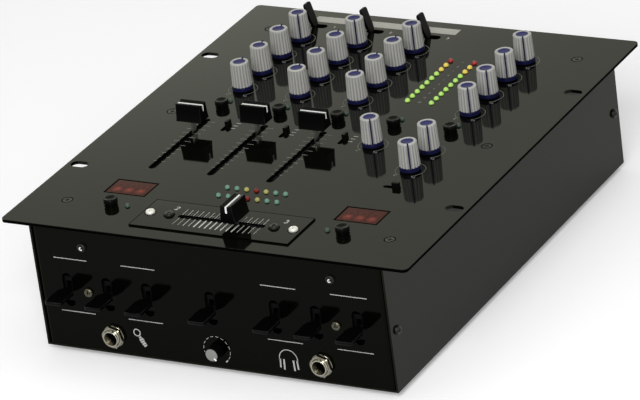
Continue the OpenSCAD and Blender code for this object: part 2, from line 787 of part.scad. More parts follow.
module switch_bodies() {
    color([0.18, 0.18, 0.18]) {
        for (i = CHANNELS) on_plate([channel_x(i) + input_lever_dx, input_lever_y])
            lever_switch(plate_t, input_swing);
        for (x = KILLS) on_front(x, kill_z) rotate([0, 0, 90]) lever_switch(sheet_t, kill_swing);
        for (b = BUTTONS) on_plate(b) button_switch();
        for (i = CHANNELS) on_plate([channel_x(i) + assign_dx, assign_y]) slide_switch();
        on_plate([output_column_x, meter_switch_y]) rotate([0, 0, 90]) slide_switch();
        on_rear(rear_side_x, phono_z + phono_row_dz / 2) rocker_frame();
    }
}

// ---------------------------------------------------------------- sockets, power

module jack_socket() {
    back = -jack_depth + jack_wall;
    color([0.78, 0.76, 0.70]) {
        difference() {
            ring(jack_sleeve_d, jack_bore, -sheet_t, jack_sleeve_l);
            translate([0, 0, jack_sleeve_l - jack_flare])
                cylinder(d1 = jack_bore, d2 = jack_bore + 2 * jack_flare, h = jack_flare + eps);
        }
        ring(jack_nut + 1, jack_sleeve_d + 2 * screw_fit, 0, washer_t);
        difference() {
            translate([0, 0, washer_t]) rotate([0, 0, 15])
                cylinder(d = jack_nut / cos(30), h = jack_nut_t, $fn = 6);
            cylinder(d = jack_sleeve_d + 2 * screw_fit, h = 20, center = true);
        }
    }
    color([0.08, 0.08, 0.08]) difference() {
        block(jack_body_w, jack_body_h, -jack_depth, -sheet_t);
        translate([0, 0, back]) cylinder(d = jack_bore, h = -back);
    }
}

module phono_socket() {
    foot_top = -board_depth + phono_foot_h;
    cup_d = phono_d - 2 * phono_wall;
    color([0.80, 0.78, 0.72]) ring(phono_d, cup_d, foot_top, phono_l);
    color([0.75, 0.12, 0.10]) difference() {
        union() {
            translate([0, 0, foot_top]) cylinder(d = cup_d, h = phono_l - phono_lip - foot_top);
            block(phono_d + 2, phono_d + 2, -board_depth, foot_top);
        }
        translate([0, 0, -board_depth + 1]) cylinder(d = phono_bore, h = board_depth + phono_l);
    }
}

module power_inlet() {
    color([0.08, 0.08, 0.08]) difference() {
        union() {
            translate([0, 0, -board_depth]) cylinder(d = inlet_body_d, h = board_depth);
            cylinder(d = inlet_body_d + 3, h = 1);
        }
        translate([0, 0, -inlet_depth]) cylinder(d = inlet_bore, h = inlet_depth + 2);
    }
    color([0.8, 0.78, 0.72]) translate([0, 0, -inlet_depth]) cylinder(d = 2, h = inlet_depth - 1);
}

module earth_post() {
    color([0.8, 0.78, 0.72]) {
        difference() {
            translate([0, 0, -board_depth]) cylinder(d = earth_d, h = board_depth + 10);
            translate([0, 0, 9.2]) block(0.8, earth_d + 1, 0, 2);
        }
        ring(9, earth_d + 2 * screw_fit, 0, 1.2);
        ring(8, earth_d + 2 * screw_fit, 3, 8);
    }
}

module front_sockets() {
    for (s = [-1, 1]) on_front(s * socket_x, socket_z) jack_socket();
}

module rear_sockets() {
    for (i = PHONO_COLUMNS, s = [-0.5, 0.5])
        on_rear(i * phono_pitch, phono_z + s * phono_row_dz) phono_socket();
    on_rear(rear_side_x, phono_z - phono_row_dz / 2) power_inlet();
    on_rear(-rear_side_x, phono_z) earth_post();
}

// Supply board on four spacers, with a heat sink and two smoothing capacitors
module supply_board() {
    sink_l = supply_d - 20;
    sink_t = 4;
    fin_l = 8;
    fin_pitch = 7;
    fin_t = 1.6;
    sink_x = -20;
    can_d = 16;
    can_x = 14;
    rear_gap = 40;
    spacer_inset = 5;
    middle = [rear_side_x - supply_w / 2 - 4, y_rear - supply_d / 2 - rear_gap, z_base + sheet_t];
    translate(middle) {
        color([0.8, 0.8, 0.75]) for (x = [-1, 1], y = [-1, 1])
            translate([x * (supply_w / 2 - spacer_inset), y * (supply_d / 2 - spacer_inset), 0])
                cylinder(d = 6, h = spacer_h);
        color([0.55, 0.40, 0.15]) block(supply_w, supply_d, spacer_h, spacer_h + board_t);
        color([0.70, 0.70, 0.72]) translate([sink_x, 0, spacer_h + board_t]) {
            block(sink_t, sink_l, 0, sink_h);
            for (i = [-3:3]) translate([(sink_t + fin_l) / 2, i * fin_pitch, 0])
                block(fin_l, fin_t, 0, sink_h);
        }
        color([0.10, 0.15, 0.45]) for (y = [-1, 1])
            translate([can_x, y * (can_d / 2 + 3), spacer_h + board_t]) cylinder(d = can_d, h = sink_h + 1);
    }
}

// ---------------------------------------------------------------- controls that move

// Outline of the grip in the plane of its axis: foot, side, bevel, top
function grip_outline(grow) = [
    [0, knob_gap + skirt_h],
    [knob_d / 2 + grow, knob_gap + skirt_h],
    [rim_r + grow, knob_h - rim_h],
    [rim_r - rim_w + grow, knob_h + grow],
    [0, knob_h + grow]
];

// The line runs from the disc over the rim and down the side, facing +Y
module pointer_strip(w, grow) {
    inset = groove_depth;
    rotate([90, 0, 90]) translate([0, 0, -w / 2]) linear_extrude(height = w) polygon([
        [line_start, knob_h - inset],
        [rim_r - rim_w - inset, knob_h - inset],
        [rim_r - inset, knob_h - rim_h - inset],
        [knob_d / 2 - inset, knob_gap + skirt_h],
        [knob_d / 2 + grow, knob_gap + skirt_h],
        [rim_r + grow, knob_h - rim_h],
        [rim_r - rim_w + grow, knob_h + grow],
        [line_start, knob_h + grow]
    ]);
}

module grip_flutes() {
    side_h = knob_h - knob_gap - skirt_h;
    tilt = atan((knob_d - knob_top_d) / 2 / side_h);
    for (i = [0:flutes - 1]) rotate([0, 0, (i + 0.5) * 360 / flutes])
        translate([0, knob_d / 2 + flute_r - flute_sink, knob_gap + skirt_h]) rotate([tilt, 0, 0])
            translate([0, 0, flute_lift]) cylinder(r = flute_r, h = side_h, $fn = 16);
}

module rotary_knob(turn) {
    shaft_top = knob_h - knob_core;
    rotate([0, 0, -turn]) {
        color([0.80, 0.80, 0.78]) difference() {
            rotate_extrude() polygon(grip_outline(0));
            grip_flutes();
            pointer_strip(pointer_w + 0.1, 1);
            translate([0, 0, knob_h - groove_depth]) cylinder(d = disc_d + 0.1, h = 1);
            cylinder(d = shaft_d + 0.1, h = shaft_top);
        }
        color([0.10, 0.12, 0.45]) {
            ring(skirt_d, shaft_d + 0.1, knob_gap, knob_gap + skirt_h);
            union() {
                translate([0, 0, knob_h - groove_depth]) cylinder(d = disc_d, h = groove_depth);
                pointer_strip(pointer_w, 0.05);
            }
        }
        color([0.6, 0.6, 0.6]) translate([0, 0, shaft_foot])
            cylinder(d = shaft_d, h = shaft_top - shaft_foot);
    }
}

module curve_knob() {
    face_d = curve_knob_d - 1.5;
    face_sink = 0.6;
    curve_turn = 140;
    on_front(0, socket_z) rotate([0, 0, -curve_turn]) {
        color([0.06, 0.06, 0.06]) difference() {
            translate([0, 0, knob_gap])
                cylinder(d1 = curve_knob_d, d2 = curve_knob_d - 0.6, h = curve_knob_h - knob_gap);
            translate([0, 0, curve_knob_h - face_sink]) cylinder(d = face_d + 0.1, h = 1);
            cylinder(d = shaft_d + 0.1, h = curve_knob_h - 2);
        }
        color([0.75, 0.75, 0.73]) translate([0, 0, curve_knob_h - face_sink]) {
            cylinder(d = face_d, h = 0.7);
            translate([0, curve_knob_d / 4, 0]) block(1, curve_knob_d / 2 - 0.9, 0.1, 1);
        }
        color([0.6, 0.6, 0.6]) translate([0, 0, shaft_foot])
            cylinder(d = shaft_d, h = curve_knob_h - 2 - shaft_foot);
    }
}

// A cap on a flat stem, with a shoe that runs in the track; its travel is along Y
module fader(rise) {
    color([0.07, 0.07, 0.07]) difference() {
        rotate([90, 0, 90]) translate([0, rise, -cap_w / 2]) linear_extrude(height = cap_w) polygon([
            [-cap_foot / 2, 0],
            [cap_foot / 2, 0],
            [cap_top / 2, cap_h],
            [0, cap_h - cap_groove],
            [-cap_top / 2, cap_h]
        ]);
        block(stem_t, stem_l, rise - 1, rise + cap_socket);
    }
    color([0.62, 0.62, 0.62]) {
        block(stem_t, stem_l, shoe_foot + eps, rise + cap_socket);
        block(shoe_w, shoe_l, shoe_foot, shoe_foot + shoe_h);
    }
}

module channel_fader(i) {
    on_plate([channel_x(i), fader_y + fader_travel / 2 - fader_rest[i]]) fader(cap_rise);
}

module crossfader() {
    on_plate([cross_rest, crossfader_y]) rotate([0, 0, 90]) fader(cross_cap_rise);
}

// A flat lever: a paddle that flares from its root at the panel, and turns about its hub
module lever(reach, root_w, tip_w) {
    shoulder = pivot_depth - 0.7;
    flare = pivot_depth + reach * 0.32;
    tip = pivot_depth + reach;
    corner = 1.4;
    color([0.05, 0.05, 0.05]) difference() {
        union() {
            translate([-lever_t / 2, 0, 0]) rotate([90, 0, 90]) linear_extrude(height = lever_t) polygon([
                [-neck_w / 2, 0],
                [neck_w / 2, 0],
                [neck_w / 2, shoulder],
                [root_w / 2, shoulder],
                [root_w / 2, pivot_depth + 0.4],
                [tip_w / 2, flare],
                [tip_w / 2, tip - corner],
                [tip_w / 2 - corner, tip],
                [corner - tip_w / 2, tip],
                [-tip_w / 2, tip - corner],
                [-tip_w / 2, flare],
                [-root_w / 2, pivot_depth + 0.4],
                [-root_w / 2, shoulder],
                [-neck_w / 2, shoulder]
            ]);
            rotate([90, 0, 0]) cylinder(d = hub_d, h = neck_w, center = true);
        }
        rotate([90, 0, 0]) cylinder(d = pin_d + 2 * run_fit, h = switch_w, center = true);
    }
}

module input_lever(i) {
    on_plate([channel_x(i) + input_lever_dx, input_lever_y])
        translate([0, 0, -pivot_depth]) rotate([0, -input_swing, 0])
            lever(input_reach, input_root_w, input_tip_w);
}

module kill_lever(x) {
    on_front(x, kill_z) rotate([0, 0, 90])
        translate([0, 0, -pivot_depth]) lever(kill_reach, kill_root_w, kill_tip_w);
}

// A round button with a dished top, a lip under the plate and a square stem
module round_button() {
    lip = 1;
    lip_top = -plate_t - slide_fit;
    dish_r = 9;
    dish = 0.5;
    color([0.05, 0.05, 0.05]) difference() {
        union() {
            translate([0, 0, lip_top]) cylinder(d = button_d, h = button_h - lip_top);
            translate([0, 0, lip_top - lip]) cylinder(d = button_d + 2, h = lip);
            block(plunger_w, plunger_w, -board_depth + 1 + slide_fit + button_travel, lip_top - lip + eps);
        }
        translate([0, 0, button_h + dish_r - dish]) sphere(r = dish_r);
    }
}

module slide_knob() {
    color([0.05, 0.05, 0.05]) {
        block(slider_neck_w, slider_neck_l, shoe_foot + eps, slide_knob_h);
        block(slider_w, slider_l, shoe_foot, -board_depth + 5);
    }
}

slide_rest = slide_travel / 2;

module assign_switch(i) {
    on_plate([channel_x(i) + assign_dx, assign_y + slide_rest]) slide_knob();
}

module meter_switch() {
    on_plate([output_column_x + slide_rest, meter_switch_y]) rotate([0, 0, 90]) slide_knob();
}

module rocker_frame() {
    difference() {
        union() {
            block(rocker_hole_w - 0.4, rocker_hole_h - 0.4, -board_depth, 0);
            block(rocker_hole_w + 3, rocker_hole_h + 3, 0, 1.5);
        }
        block(rocker_w + 2 * slide_fit, rocker_l + 1.8, -8, 3);
    }
    translate([0, 0, -rocker_pivot]) rotate([0, 90, 0])
        cylinder(d = pin_d, h = rocker_w + 2 * slide_fit + 1, center = true);
}

module power_rocker() {
    color([0.05, 0.05, 0.05]) on_rear(rear_side_x, phono_z + phono_row_dz / 2)
        translate([0, 0, -rocker_pivot]) rotate([rocker_tilt, 0, 0]) difference() {
            rotate([90, 0, 90]) translate([0, 0, -rocker_w / 2]) linear_extrude(height = rocker_w) polygon([
                [-rocker_l / 2 + 0.6, -0.5],
                [0, -3],
                [rocker_l / 2 - 0.6, -0.5],
                [rocker_l / 2, 4.4],
                [0, 3.4],
                [-rocker_l / 2, 4.4]
            ]);
            rotate([0, 90, 0]) cylinder(d = pin_d + 2 * run_fit, h = rocker_w + 2, center = true);
        }
}

// ---------------------------------------------------------------- nodes

top_panel();
front_panel();
rear_panel();
bottom_cover();
crossfader_plate();
case_screws();
rubber_feet();
display_windows();
lamps();
circuit_boards();
potentiometers();
switch_bodies();
front_sockets();
rear_sockets();
for (i = [0:len(KNOBS) - 1])
    on_plate(KNOBS[i]) rotary_knob(KNOBS[i][2]);
curve_knob();
for (i = CHANNELS) channel_fader(i);
crossfader();
for (i = CHANNELS) input_lever(i);
for (i = [0:len(KILLS) - 1]) kill_lever(KILLS[i]);
for (i = [0:len(BUTTONS) - 1])
    on_plate(BUTTONS[i]) round_button();
for (i = CHANNELS) assign_switch(i);
meter_switch();
power_rocker();
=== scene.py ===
"""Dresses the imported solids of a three-channel dj mixer: finishes, printed marks and small parts."""

import logging
import math
from collections.abc import Iterable, Sequence
from dataclasses import dataclass
from enum import Enum

import bmesh
import bpy
from mathutils import Matrix, Vector


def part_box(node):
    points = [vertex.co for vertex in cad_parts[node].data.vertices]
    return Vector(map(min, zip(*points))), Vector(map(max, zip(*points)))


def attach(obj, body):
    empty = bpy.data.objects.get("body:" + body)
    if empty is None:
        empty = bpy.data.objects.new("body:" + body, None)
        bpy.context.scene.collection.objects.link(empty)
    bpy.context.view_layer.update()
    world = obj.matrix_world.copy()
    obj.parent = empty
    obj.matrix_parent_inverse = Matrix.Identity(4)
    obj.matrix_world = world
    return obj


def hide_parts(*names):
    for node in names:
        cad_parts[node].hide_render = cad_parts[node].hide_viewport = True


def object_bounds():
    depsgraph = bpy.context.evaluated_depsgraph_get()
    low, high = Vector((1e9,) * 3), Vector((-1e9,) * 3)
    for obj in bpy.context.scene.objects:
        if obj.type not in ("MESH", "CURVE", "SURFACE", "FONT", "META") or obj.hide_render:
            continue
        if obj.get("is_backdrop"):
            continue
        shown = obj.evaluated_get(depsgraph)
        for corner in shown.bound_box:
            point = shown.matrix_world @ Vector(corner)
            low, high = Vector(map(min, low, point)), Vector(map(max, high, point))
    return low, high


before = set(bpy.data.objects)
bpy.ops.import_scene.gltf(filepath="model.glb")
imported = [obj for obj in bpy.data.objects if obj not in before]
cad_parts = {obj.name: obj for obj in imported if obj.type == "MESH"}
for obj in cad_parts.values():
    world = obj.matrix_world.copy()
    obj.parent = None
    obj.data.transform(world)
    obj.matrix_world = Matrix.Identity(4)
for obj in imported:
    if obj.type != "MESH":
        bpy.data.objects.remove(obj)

LOG = logging.getLogger("mixer")
MM = 0.001
TAU = 2 * math.pi
CASE = "case"
UP = Vector((0, 0, 1))
FORWARD = Vector((0, -1, 0))
BACKWARD = Vector((0, 1, 0))
RIGHT = Vector((1, 0, 0))
CHANNELS = (1, 2, 3)
TINY = 1e-6
WELD = 1e-4
Socket = bpy.types.NodeSocket
RGB = tuple[float, float, float]


# ---------------------------------------------------------------- camera, floor and light


@dataclass
class Studio:
    """The camera, the pale floor and the soft lamps.

    Angles are in degrees and lengths in metres. The camera looks at the point `aim` of the plate's face from
    `azimuth` and `elevation`. The lamps' heights count from the floor, and they look at a point `lamp_aim`
    above it. The bright patch of the reflected sky lies `patch_towards`, `patch_spread` wide to each side.
    """

    azimuth: float = 31.272
    elevation: float = 25.192
    roll: float = -7.691
    distance: float = 2.4449
    aim: tuple[float, float] = (0.04072, -0.08472)
    focal_px: float = 4462.0
    frame_px: float = 640.0
    sensor_mm: float = 36.0
    floor_size: float = 12.0
    world_fill: float = 0.42
    floor_white: float = 0.93
    floor_glow: float = 0.2
    sky_tint: RGB = (0.98, 1.0, 0.85)
    patch_towards: tuple[float, float, float] = (-0.539, 0.814, 0.216)
    patch_spread: float = 13.0
    patch_power: float = 5.0
    patch_limit: float = 1.4
    lamp_aim: float = 0.05

    def build(self) -> None:
        """Makes the camera first, then the world, the floor and the lamps."""
        self.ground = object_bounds()[0][2]
        self._camera(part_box("top_panel")[1].z)
        self._world()
        self._floor()
        self._lamp("key_light", (0.64, -1.77, 1.32), (1.1, 1.1), 38)
        self._lamp("top_light", (-0.1, 0.4, 2.0), (1.6, 1.2), 4)
        self._lamp("side_light", (1.9, -0.3, 1.0), (1.0, 0.8), 2)
        bpy.context.scene.view_settings.view_transform = "Standard"
        LOG.info("studio ready")

    def _camera(self, plate_z: float) -> None:
        """Places the camera, rolled about its line of sight, with its aim at the height `plate_z`."""
        az, el, roll = (math.radians(v) for v in (self.azimuth, self.elevation, self.roll))
        back = Vector((math.sin(az) * math.cos(el), -math.cos(az) * math.cos(el), math.sin(el)))
        right = (-back).cross(UP).normalized()
        up = right.cross(-back)
        across = right * math.cos(roll) + up * math.sin(roll)
        upward = up * math.cos(roll) - right * math.sin(roll)
        data = bpy.data.cameras.new("camera")
        data.sensor_width = self.sensor_mm
        data.lens = self.focal_px / self.frame_px * self.sensor_mm
        data.clip_end = 100
        camera = bpy.data.objects.new("camera", data)
        bpy.context.scene.collection.objects.link(camera)
        turn = Matrix((across, upward, back)).transposed().to_4x4()
        camera.matrix_world = Matrix.Translation(Vector((*self.aim, plate_z)) + back * self.distance) @ turn
        bpy.context.scene.camera = camera

    def _world(self) -> None:
        """A plain grey fill that shows as white to the camera and as a faintly olive sky in reflections.

        The reflected sky has one soft bright patch, towards the object's left rear.
        """
        world = bpy.data.worlds.new("studio_world")
        bpy.context.scene.world = world
        world.use_nodes = True
        graph = Graph(world.node_tree)
        graph.clear()
        seen = seen_rays(graph)
        strength = graph.mix_value(seen, self.world_fill, 1.0)
        mirrored = graph.add("ShaderNodeLightPath").outputs["Is Glossy Ray"]
        colour = graph.mix_colour(mirrored, (1, 1, 1, 1), (*self.sky_tint, 1))
        edge = math.cos(math.radians(self.patch_spread))
        aim = Vector(self.patch_towards).normalized()
        toward = graph.add("ShaderNodeVectorMath", {"operation": "DOT_PRODUCT"})
        graph.link(graph.add("ShaderNodeTexCoord").outputs["Generated"], toward.inputs[0])
        toward.inputs[1].default_value = aim
        near = graph.math("DIVIDE", graph.math("SUBTRACT", toward.outputs["Value"], edge), 1 - edge)
        patch = graph.scaled(graph.math("POWER", graph.math("MAXIMUM", near, 0.0), 2.0), self.patch_power)
        patch = graph.math("MULTIPLY", graph.math("MINIMUM", patch, self.patch_limit), mirrored)
        shade = graph.add("ShaderNodeBackground", Color=colour, Strength=graph.math("ADD", strength, patch))
        graph.link(shade.outputs[0], graph.add("ShaderNodeOutputWorld").inputs["Surface"])

    def _floor(self) -> None:
        """A white floor that keeps the shadow of the object."""
        half = self.floor_size / 2
        corners = [(-half, -half), (half, -half), (half, half), (-half, half)]
        floor = mesh_object("floor", [(x, y, self.ground) for x, y in corners], [(0, 1, 2, 3)])
        material = bpy.data.materials.new("white_floor")
        material.use_nodes = True
        graph = Graph(material.node_tree)
        graph.clear()
        matt = graph.add("ShaderNodeBsdfDiffuse", Color=(self.floor_white,) * 3 + (1,))
        strength = graph.scaled(seen_rays(graph), self.floor_glow)
        glow = graph.add("ShaderNodeEmission", Color=(1, 1, 1, 1), Strength=strength)
        both = graph.add("ShaderNodeAddShader")
        graph.link(matt.outputs[0], both.inputs[0])
        graph.link(glow.outputs[0], both.inputs[1])
        graph.link(both.outputs[0], graph.add("ShaderNodeOutputMaterial").inputs["Surface"])
        floor.data.materials.append(material)
        floor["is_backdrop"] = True

    def _lamp(self, name: str, place: Sequence[float], size: tuple[float, float], power: float) -> None:
        """Adds a rectangular soft box that faces the middle of the object.

        Args:
            name: The lamp's name.
            place: Where it hangs, in metres, counted from the floor.
            size: Its width and height, in metres.
            power: Its power in watts.
        """
        data = bpy.data.lights.new(name, "AREA")
        data.shape = "RECTANGLE"
        data.size, data.size_y = size
        data.energy = power
        lamp = bpy.data.objects.new(name, data)
        lamp.location = Vector(place) + UP * self.ground
        lamp.rotation_mode = "QUATERNION"
        lamp.rotation_quaternion = (UP * self.lamp_aim - Vector(place)).to_track_quat("-Z", "Y")
        bpy.context.scene.collection.objects.link(lamp)


# ---------------------------------------------------------------- node graphs


class Graph:
    """A thin helper that adds and links nodes of one tree."""

    def __init__(self, tree: bpy.types.NodeTree) -> None:
        """Keeps the tree."""
        self.tree = tree

    def clear(self) -> None:
        """Empties the tree."""
        self.tree.nodes.clear()

    def link(self, source: Socket, target: Socket) -> None:
        """Joins two sockets."""
        self.tree.links.new(source, target)

    def add(self, kind: str, settings: dict | None = None, **inputs: object) -> bpy.types.Node:
        """Adds a node.

        Args:
            kind: The node's type name.
            settings: Properties of the node, such as its operation.
            **inputs: Values or sockets for its inputs, by name, with spaces written as underscores.

        Returns:
            The node.
        """
        node = self.tree.nodes.new(kind)
        for name, value in (settings or {}).items():
            setattr(node, name, value)
        for name, value in inputs.items():
            self.feed(node.inputs[name.replace("_", " ")], value)
        return node

    def feed(self, target: Socket, value: object) -> None:
        """Links a socket to an input, or sets the input's value.

        Args:
            target: The input.
            value: A socket or a value.
        """
        if isinstance(value, Socket):
            self.link(value, target)
        else:
            target.default_value = value

    def math(self, operation: str, *values: object) -> Socket:
        """Adds a Math node and returns its result.

        Args:
            operation: The operation's name.
            *values: Numbers or sockets.

        Returns:
            The socket that holds the result.
        """
        node = self.tree.nodes.new("ShaderNodeMath")
        node.operation = operation
        for target, value in zip(node.inputs, values):
            self.feed(target, value)
        return node.outputs[0]

    def vector(self, operation: str, *values: object, scale: object = None) -> Socket:
        """Adds a Vector Math node and returns its vector result.

        Args:
            operation: The operation's name.
            *values: Vectors or sockets.
            scale: The factor, for the operation that scales.

        Returns:
            The socket that holds the result.
        """
        node = self.tree.nodes.new("ShaderNodeVectorMath")
        node.operation = operation
        for target, value in zip(node.inputs, values):
            self.feed(target, value)
        if scale is not None:
            self.feed(node.inputs["Scale"], scale)
        return node.outputs[0]

    def scaled(self, value: Socket, factor: float) -> Socket:
        """Returns a value times a factor."""
        return self.math("MULTIPLY", value, factor)

    def place(self) -> Socket:
        """Returns the object's own coordinates."""
        return self.add("ShaderNodeTexCoord").outputs["Object"]

    def noise(self, scale: float | Socket, detail: float) -> Socket:
        """Returns noise over the object's own coordinates."""
        return self.add("ShaderNodeTexNoise", Vector=self.place(), Scale=scale, Detail=detail).outputs[0]

    def ramp(self, value: Socket, low: float, high: float) -> Socket:
        """Returns 0 where the value is `low` and 1 where it is `high`, and never leaves that range."""
        return self.add("ShaderNodeMapRange", Value=value, From_Min=low, From_Max=high).outputs[0]

    def mix_value(self, mask: Socket, low: float, high: float) -> Socket:
        """Returns low where the mask is 0 and high where it is 1."""
        return self.add("ShaderNodeMapRange", Value=mask, To_Min=low, To_Max=high).outputs[0]

    def mix_colour(self, mask: Socket, low: object, high: object) -> Socket:
        """Returns colour low where the mask is 0 and colour high where it is 1.

        Args:
            mask: The socket that picks between them.
            low: A colour or its socket.
            high: The other.

        Returns:
            The socket that holds the mixed colour.
        """
        node = self.add("ShaderNodeMix", {"data_type": "RGBA"}, Factor=mask)
        self.feed(node.inputs[6], low)
        self.feed(node.inputs[7], high)
        return node.outputs[2]


def seen_rays(graph: Graph) -> Socket:
    """Returns 1 for rays that the camera, a reflection or clear plastic sends out, and 0 for light rays.

    Args:
        graph: The graph to build in.

    Returns:
        The socket that holds the result.
    """
    path = graph.add("ShaderNodeLightPath")
    both = graph.math("MAXIMUM", path.outputs["Is Camera Ray"], path.outputs["Is Glossy Ray"])
    return graph.math("MAXIMUM", both, path.outputs["Is Transmission Ray"])


def new_group(name: str, kind: str, inputs: dict[str, tuple],
              outputs: dict[str, str]) -> tuple[Graph, dict, dict]:
    """Starts a node group with named sockets.

    Args:
        name: The group's name.
        kind: Its tree type.
        inputs: For each input its name, with the socket type and the default value.
        outputs: For each output its name and socket type.

    Returns:
        The graph, the sockets of its input node and those of its output node.
    """
    tree = bpy.data.node_groups.new(name, kind)
    for label, (socket_type, default) in inputs.items():
        socket = tree.interface.new_socket(name=label, in_out="INPUT", socket_type=socket_type)
        if default is not None:
            socket.default_value = default
    for label, socket_type in outputs.items():
        tree.interface.new_socket(name=label, in_out="OUTPUT", socket_type=socket_type)
    start = tree.nodes.new("NodeGroupInput")
    end = tree.nodes.new("NodeGroupOutput")
    given = {socket.name: socket for socket in start.outputs if socket.name}
    wanted = {socket.name: socket for socket in end.inputs if socket.name}
    return Graph(tree), given, wanted


FLOAT = "NodeSocketFloat"
GEOMETRY = "NodeSocketGeometry"


def new_effect(name: str, inputs: dict[str, float], *outputs: str) -> tuple[Graph, dict, dict]:
    """Starts a shader group whose inputs and outputs are plain values."""
    typed = {label: (FLOAT, value) for label, value in inputs.items()}
    return new_group(name, "ShaderNodeTree", typed, dict.fromkeys(outputs, FLOAT))


def new_tree(name: str, inputs: dict[str, tuple]) -> tuple[Graph, dict, dict]:
    """Starts a geometry tree that takes a geometry, the given inputs and a material."""
    typed = {"Geometry": (GEOMETRY, None), **inputs, "Material": ("NodeSocketMaterial", None)}
    return new_group(name, "GeometryNodeTree", typed, {"Geometry": GEOMETRY})


class Effects:
    """Shader groups that several finishes share. Each is built once."""

    def __init__(self) -> None:
        """Builds the four groups."""
        self.grain = self._grain()
        self.dust = self._dust()
        self.wear = self._wear()
        self.pools = self._pools()

    @staticmethod
    def _grain() -> bpy.types.NodeTree:
        """Height and roughness of a painted or moulded surface, from two sizes of noise."""
        graph, given, wanted = new_effect(
            "surface_grain",
            {"Fine Scale": 2500.0, "Wave Scale": 120.0, "Wave Share": 0.3, "Roughness": 0.4, "Spread": 0.1},
            "Height", "Roughness",
        )
        fine, wave = graph.noise(given["Fine Scale"], 3.0), graph.noise(given["Wave Scale"], 1.0)
        height = graph.add("ShaderNodeMix", Factor=given["Wave Share"], A=fine, B=wave)
        graph.link(height.outputs[0], wanted["Height"])
        blotch = graph.math("SUBTRACT", graph.noise(38.0, 4.0), 0.5)
        offset = graph.math("MULTIPLY", blotch, given["Spread"])
        graph.link(graph.math("ADD", given["Roughness"], offset), wanted["Roughness"])
        return graph.tree

    @staticmethod
    def _dust() -> bpy.types.NodeTree:
        """A thin veil with specks that lies on faces turned upwards."""
        graph, given, wanted = new_effect("fine_dust", {"Amount": 0.02, "Speck Scale": 900.0}, "Mask")
        normal = graph.add("ShaderNodeNewGeometry").outputs["Normal"]
        level = graph.ramp(graph.add("ShaderNodeSeparateXYZ", Vector=normal).outputs["Z"], 0.5, 1.0)
        cells = graph.add("ShaderNodeTexVoronoi", Vector=graph.place(), Scale=given["Speck Scale"])
        speck = graph.ramp(cells.outputs["Distance"], 0.12, 0.02)
        total = graph.math("ADD", graph.scaled(speck, 0.5), graph.noise(24.0, 5.0))
        amount = graph.math("MULTIPLY", total, given["Amount"])
        graph.link(graph.math("MULTIPLY", amount, level), wanted["Mask"])
        return graph.tree

    @staticmethod
    def _wear() -> bpy.types.NodeTree:
        """A mask of rubbed edges, from the rounded edges that carry the attribute `edge`."""
        graph, given, wanted = new_effect("edge_wear", {"Amount": 0.3, "Patch Scale": 160.0}, "Mask")
        edge = graph.add("ShaderNodeAttribute", {"attribute_name": "edge"}).outputs["Fac"]
        rubbed = graph.ramp(graph.noise(given["Patch Scale"], 4.0), 0.35, 0.7)
        mask = graph.math("MULTIPLY", graph.math("MULTIPLY", edge, rubbed), given["Amount"])
        graph.link(mask, wanted["Mask"])
        return graph.tree

    @staticmethod
    def _pools() -> bpy.types.NodeTree:
        """Three soft patches of painted light in each display window, one behind each digit."""
        graph, given, wanted = new_effect(
            "window_pools",
            {"Middle X": 0.073, "Middle Y": -0.0995, "Pitch": 0.0074, "Half Width": 0.0034,
             "Half Height": 0.0032},
            "Mask",
        )
        place = graph.add("ShaderNodeSeparateXYZ", Vector=graph.place())
        half = graph.scaled(given["Pitch"], 0.5)
        aside = graph.math("SUBTRACT", graph.math("ABSOLUTE", place.outputs["X"]), given["Middle X"])
        across = graph.math("WRAP", aside, half, graph.scaled(half, -1.0))
        along = graph.math("SUBTRACT", place.outputs["Y"], given["Middle Y"])
        shares = []
        for offset, reach in ((across, given["Half Width"]), (along, given["Half Height"])):
            share = graph.math("DIVIDE", graph.math("ABSOLUTE", offset), reach)
            shares.append(graph.math("POWER", share, 2.0))
        left = graph.math("MAXIMUM", graph.math("SUBTRACT", 1.0, graph.math("ADD", *shares)), 0.0)
        inside = graph.math("LESS_THAN", graph.math("ABSOLUTE", aside), graph.scaled(half, 3.0))
        graph.link(graph.math("MULTIPLY", left, inside), wanted["Mask"])
        return graph.tree


# ---------------------------------------------------------------- finishes


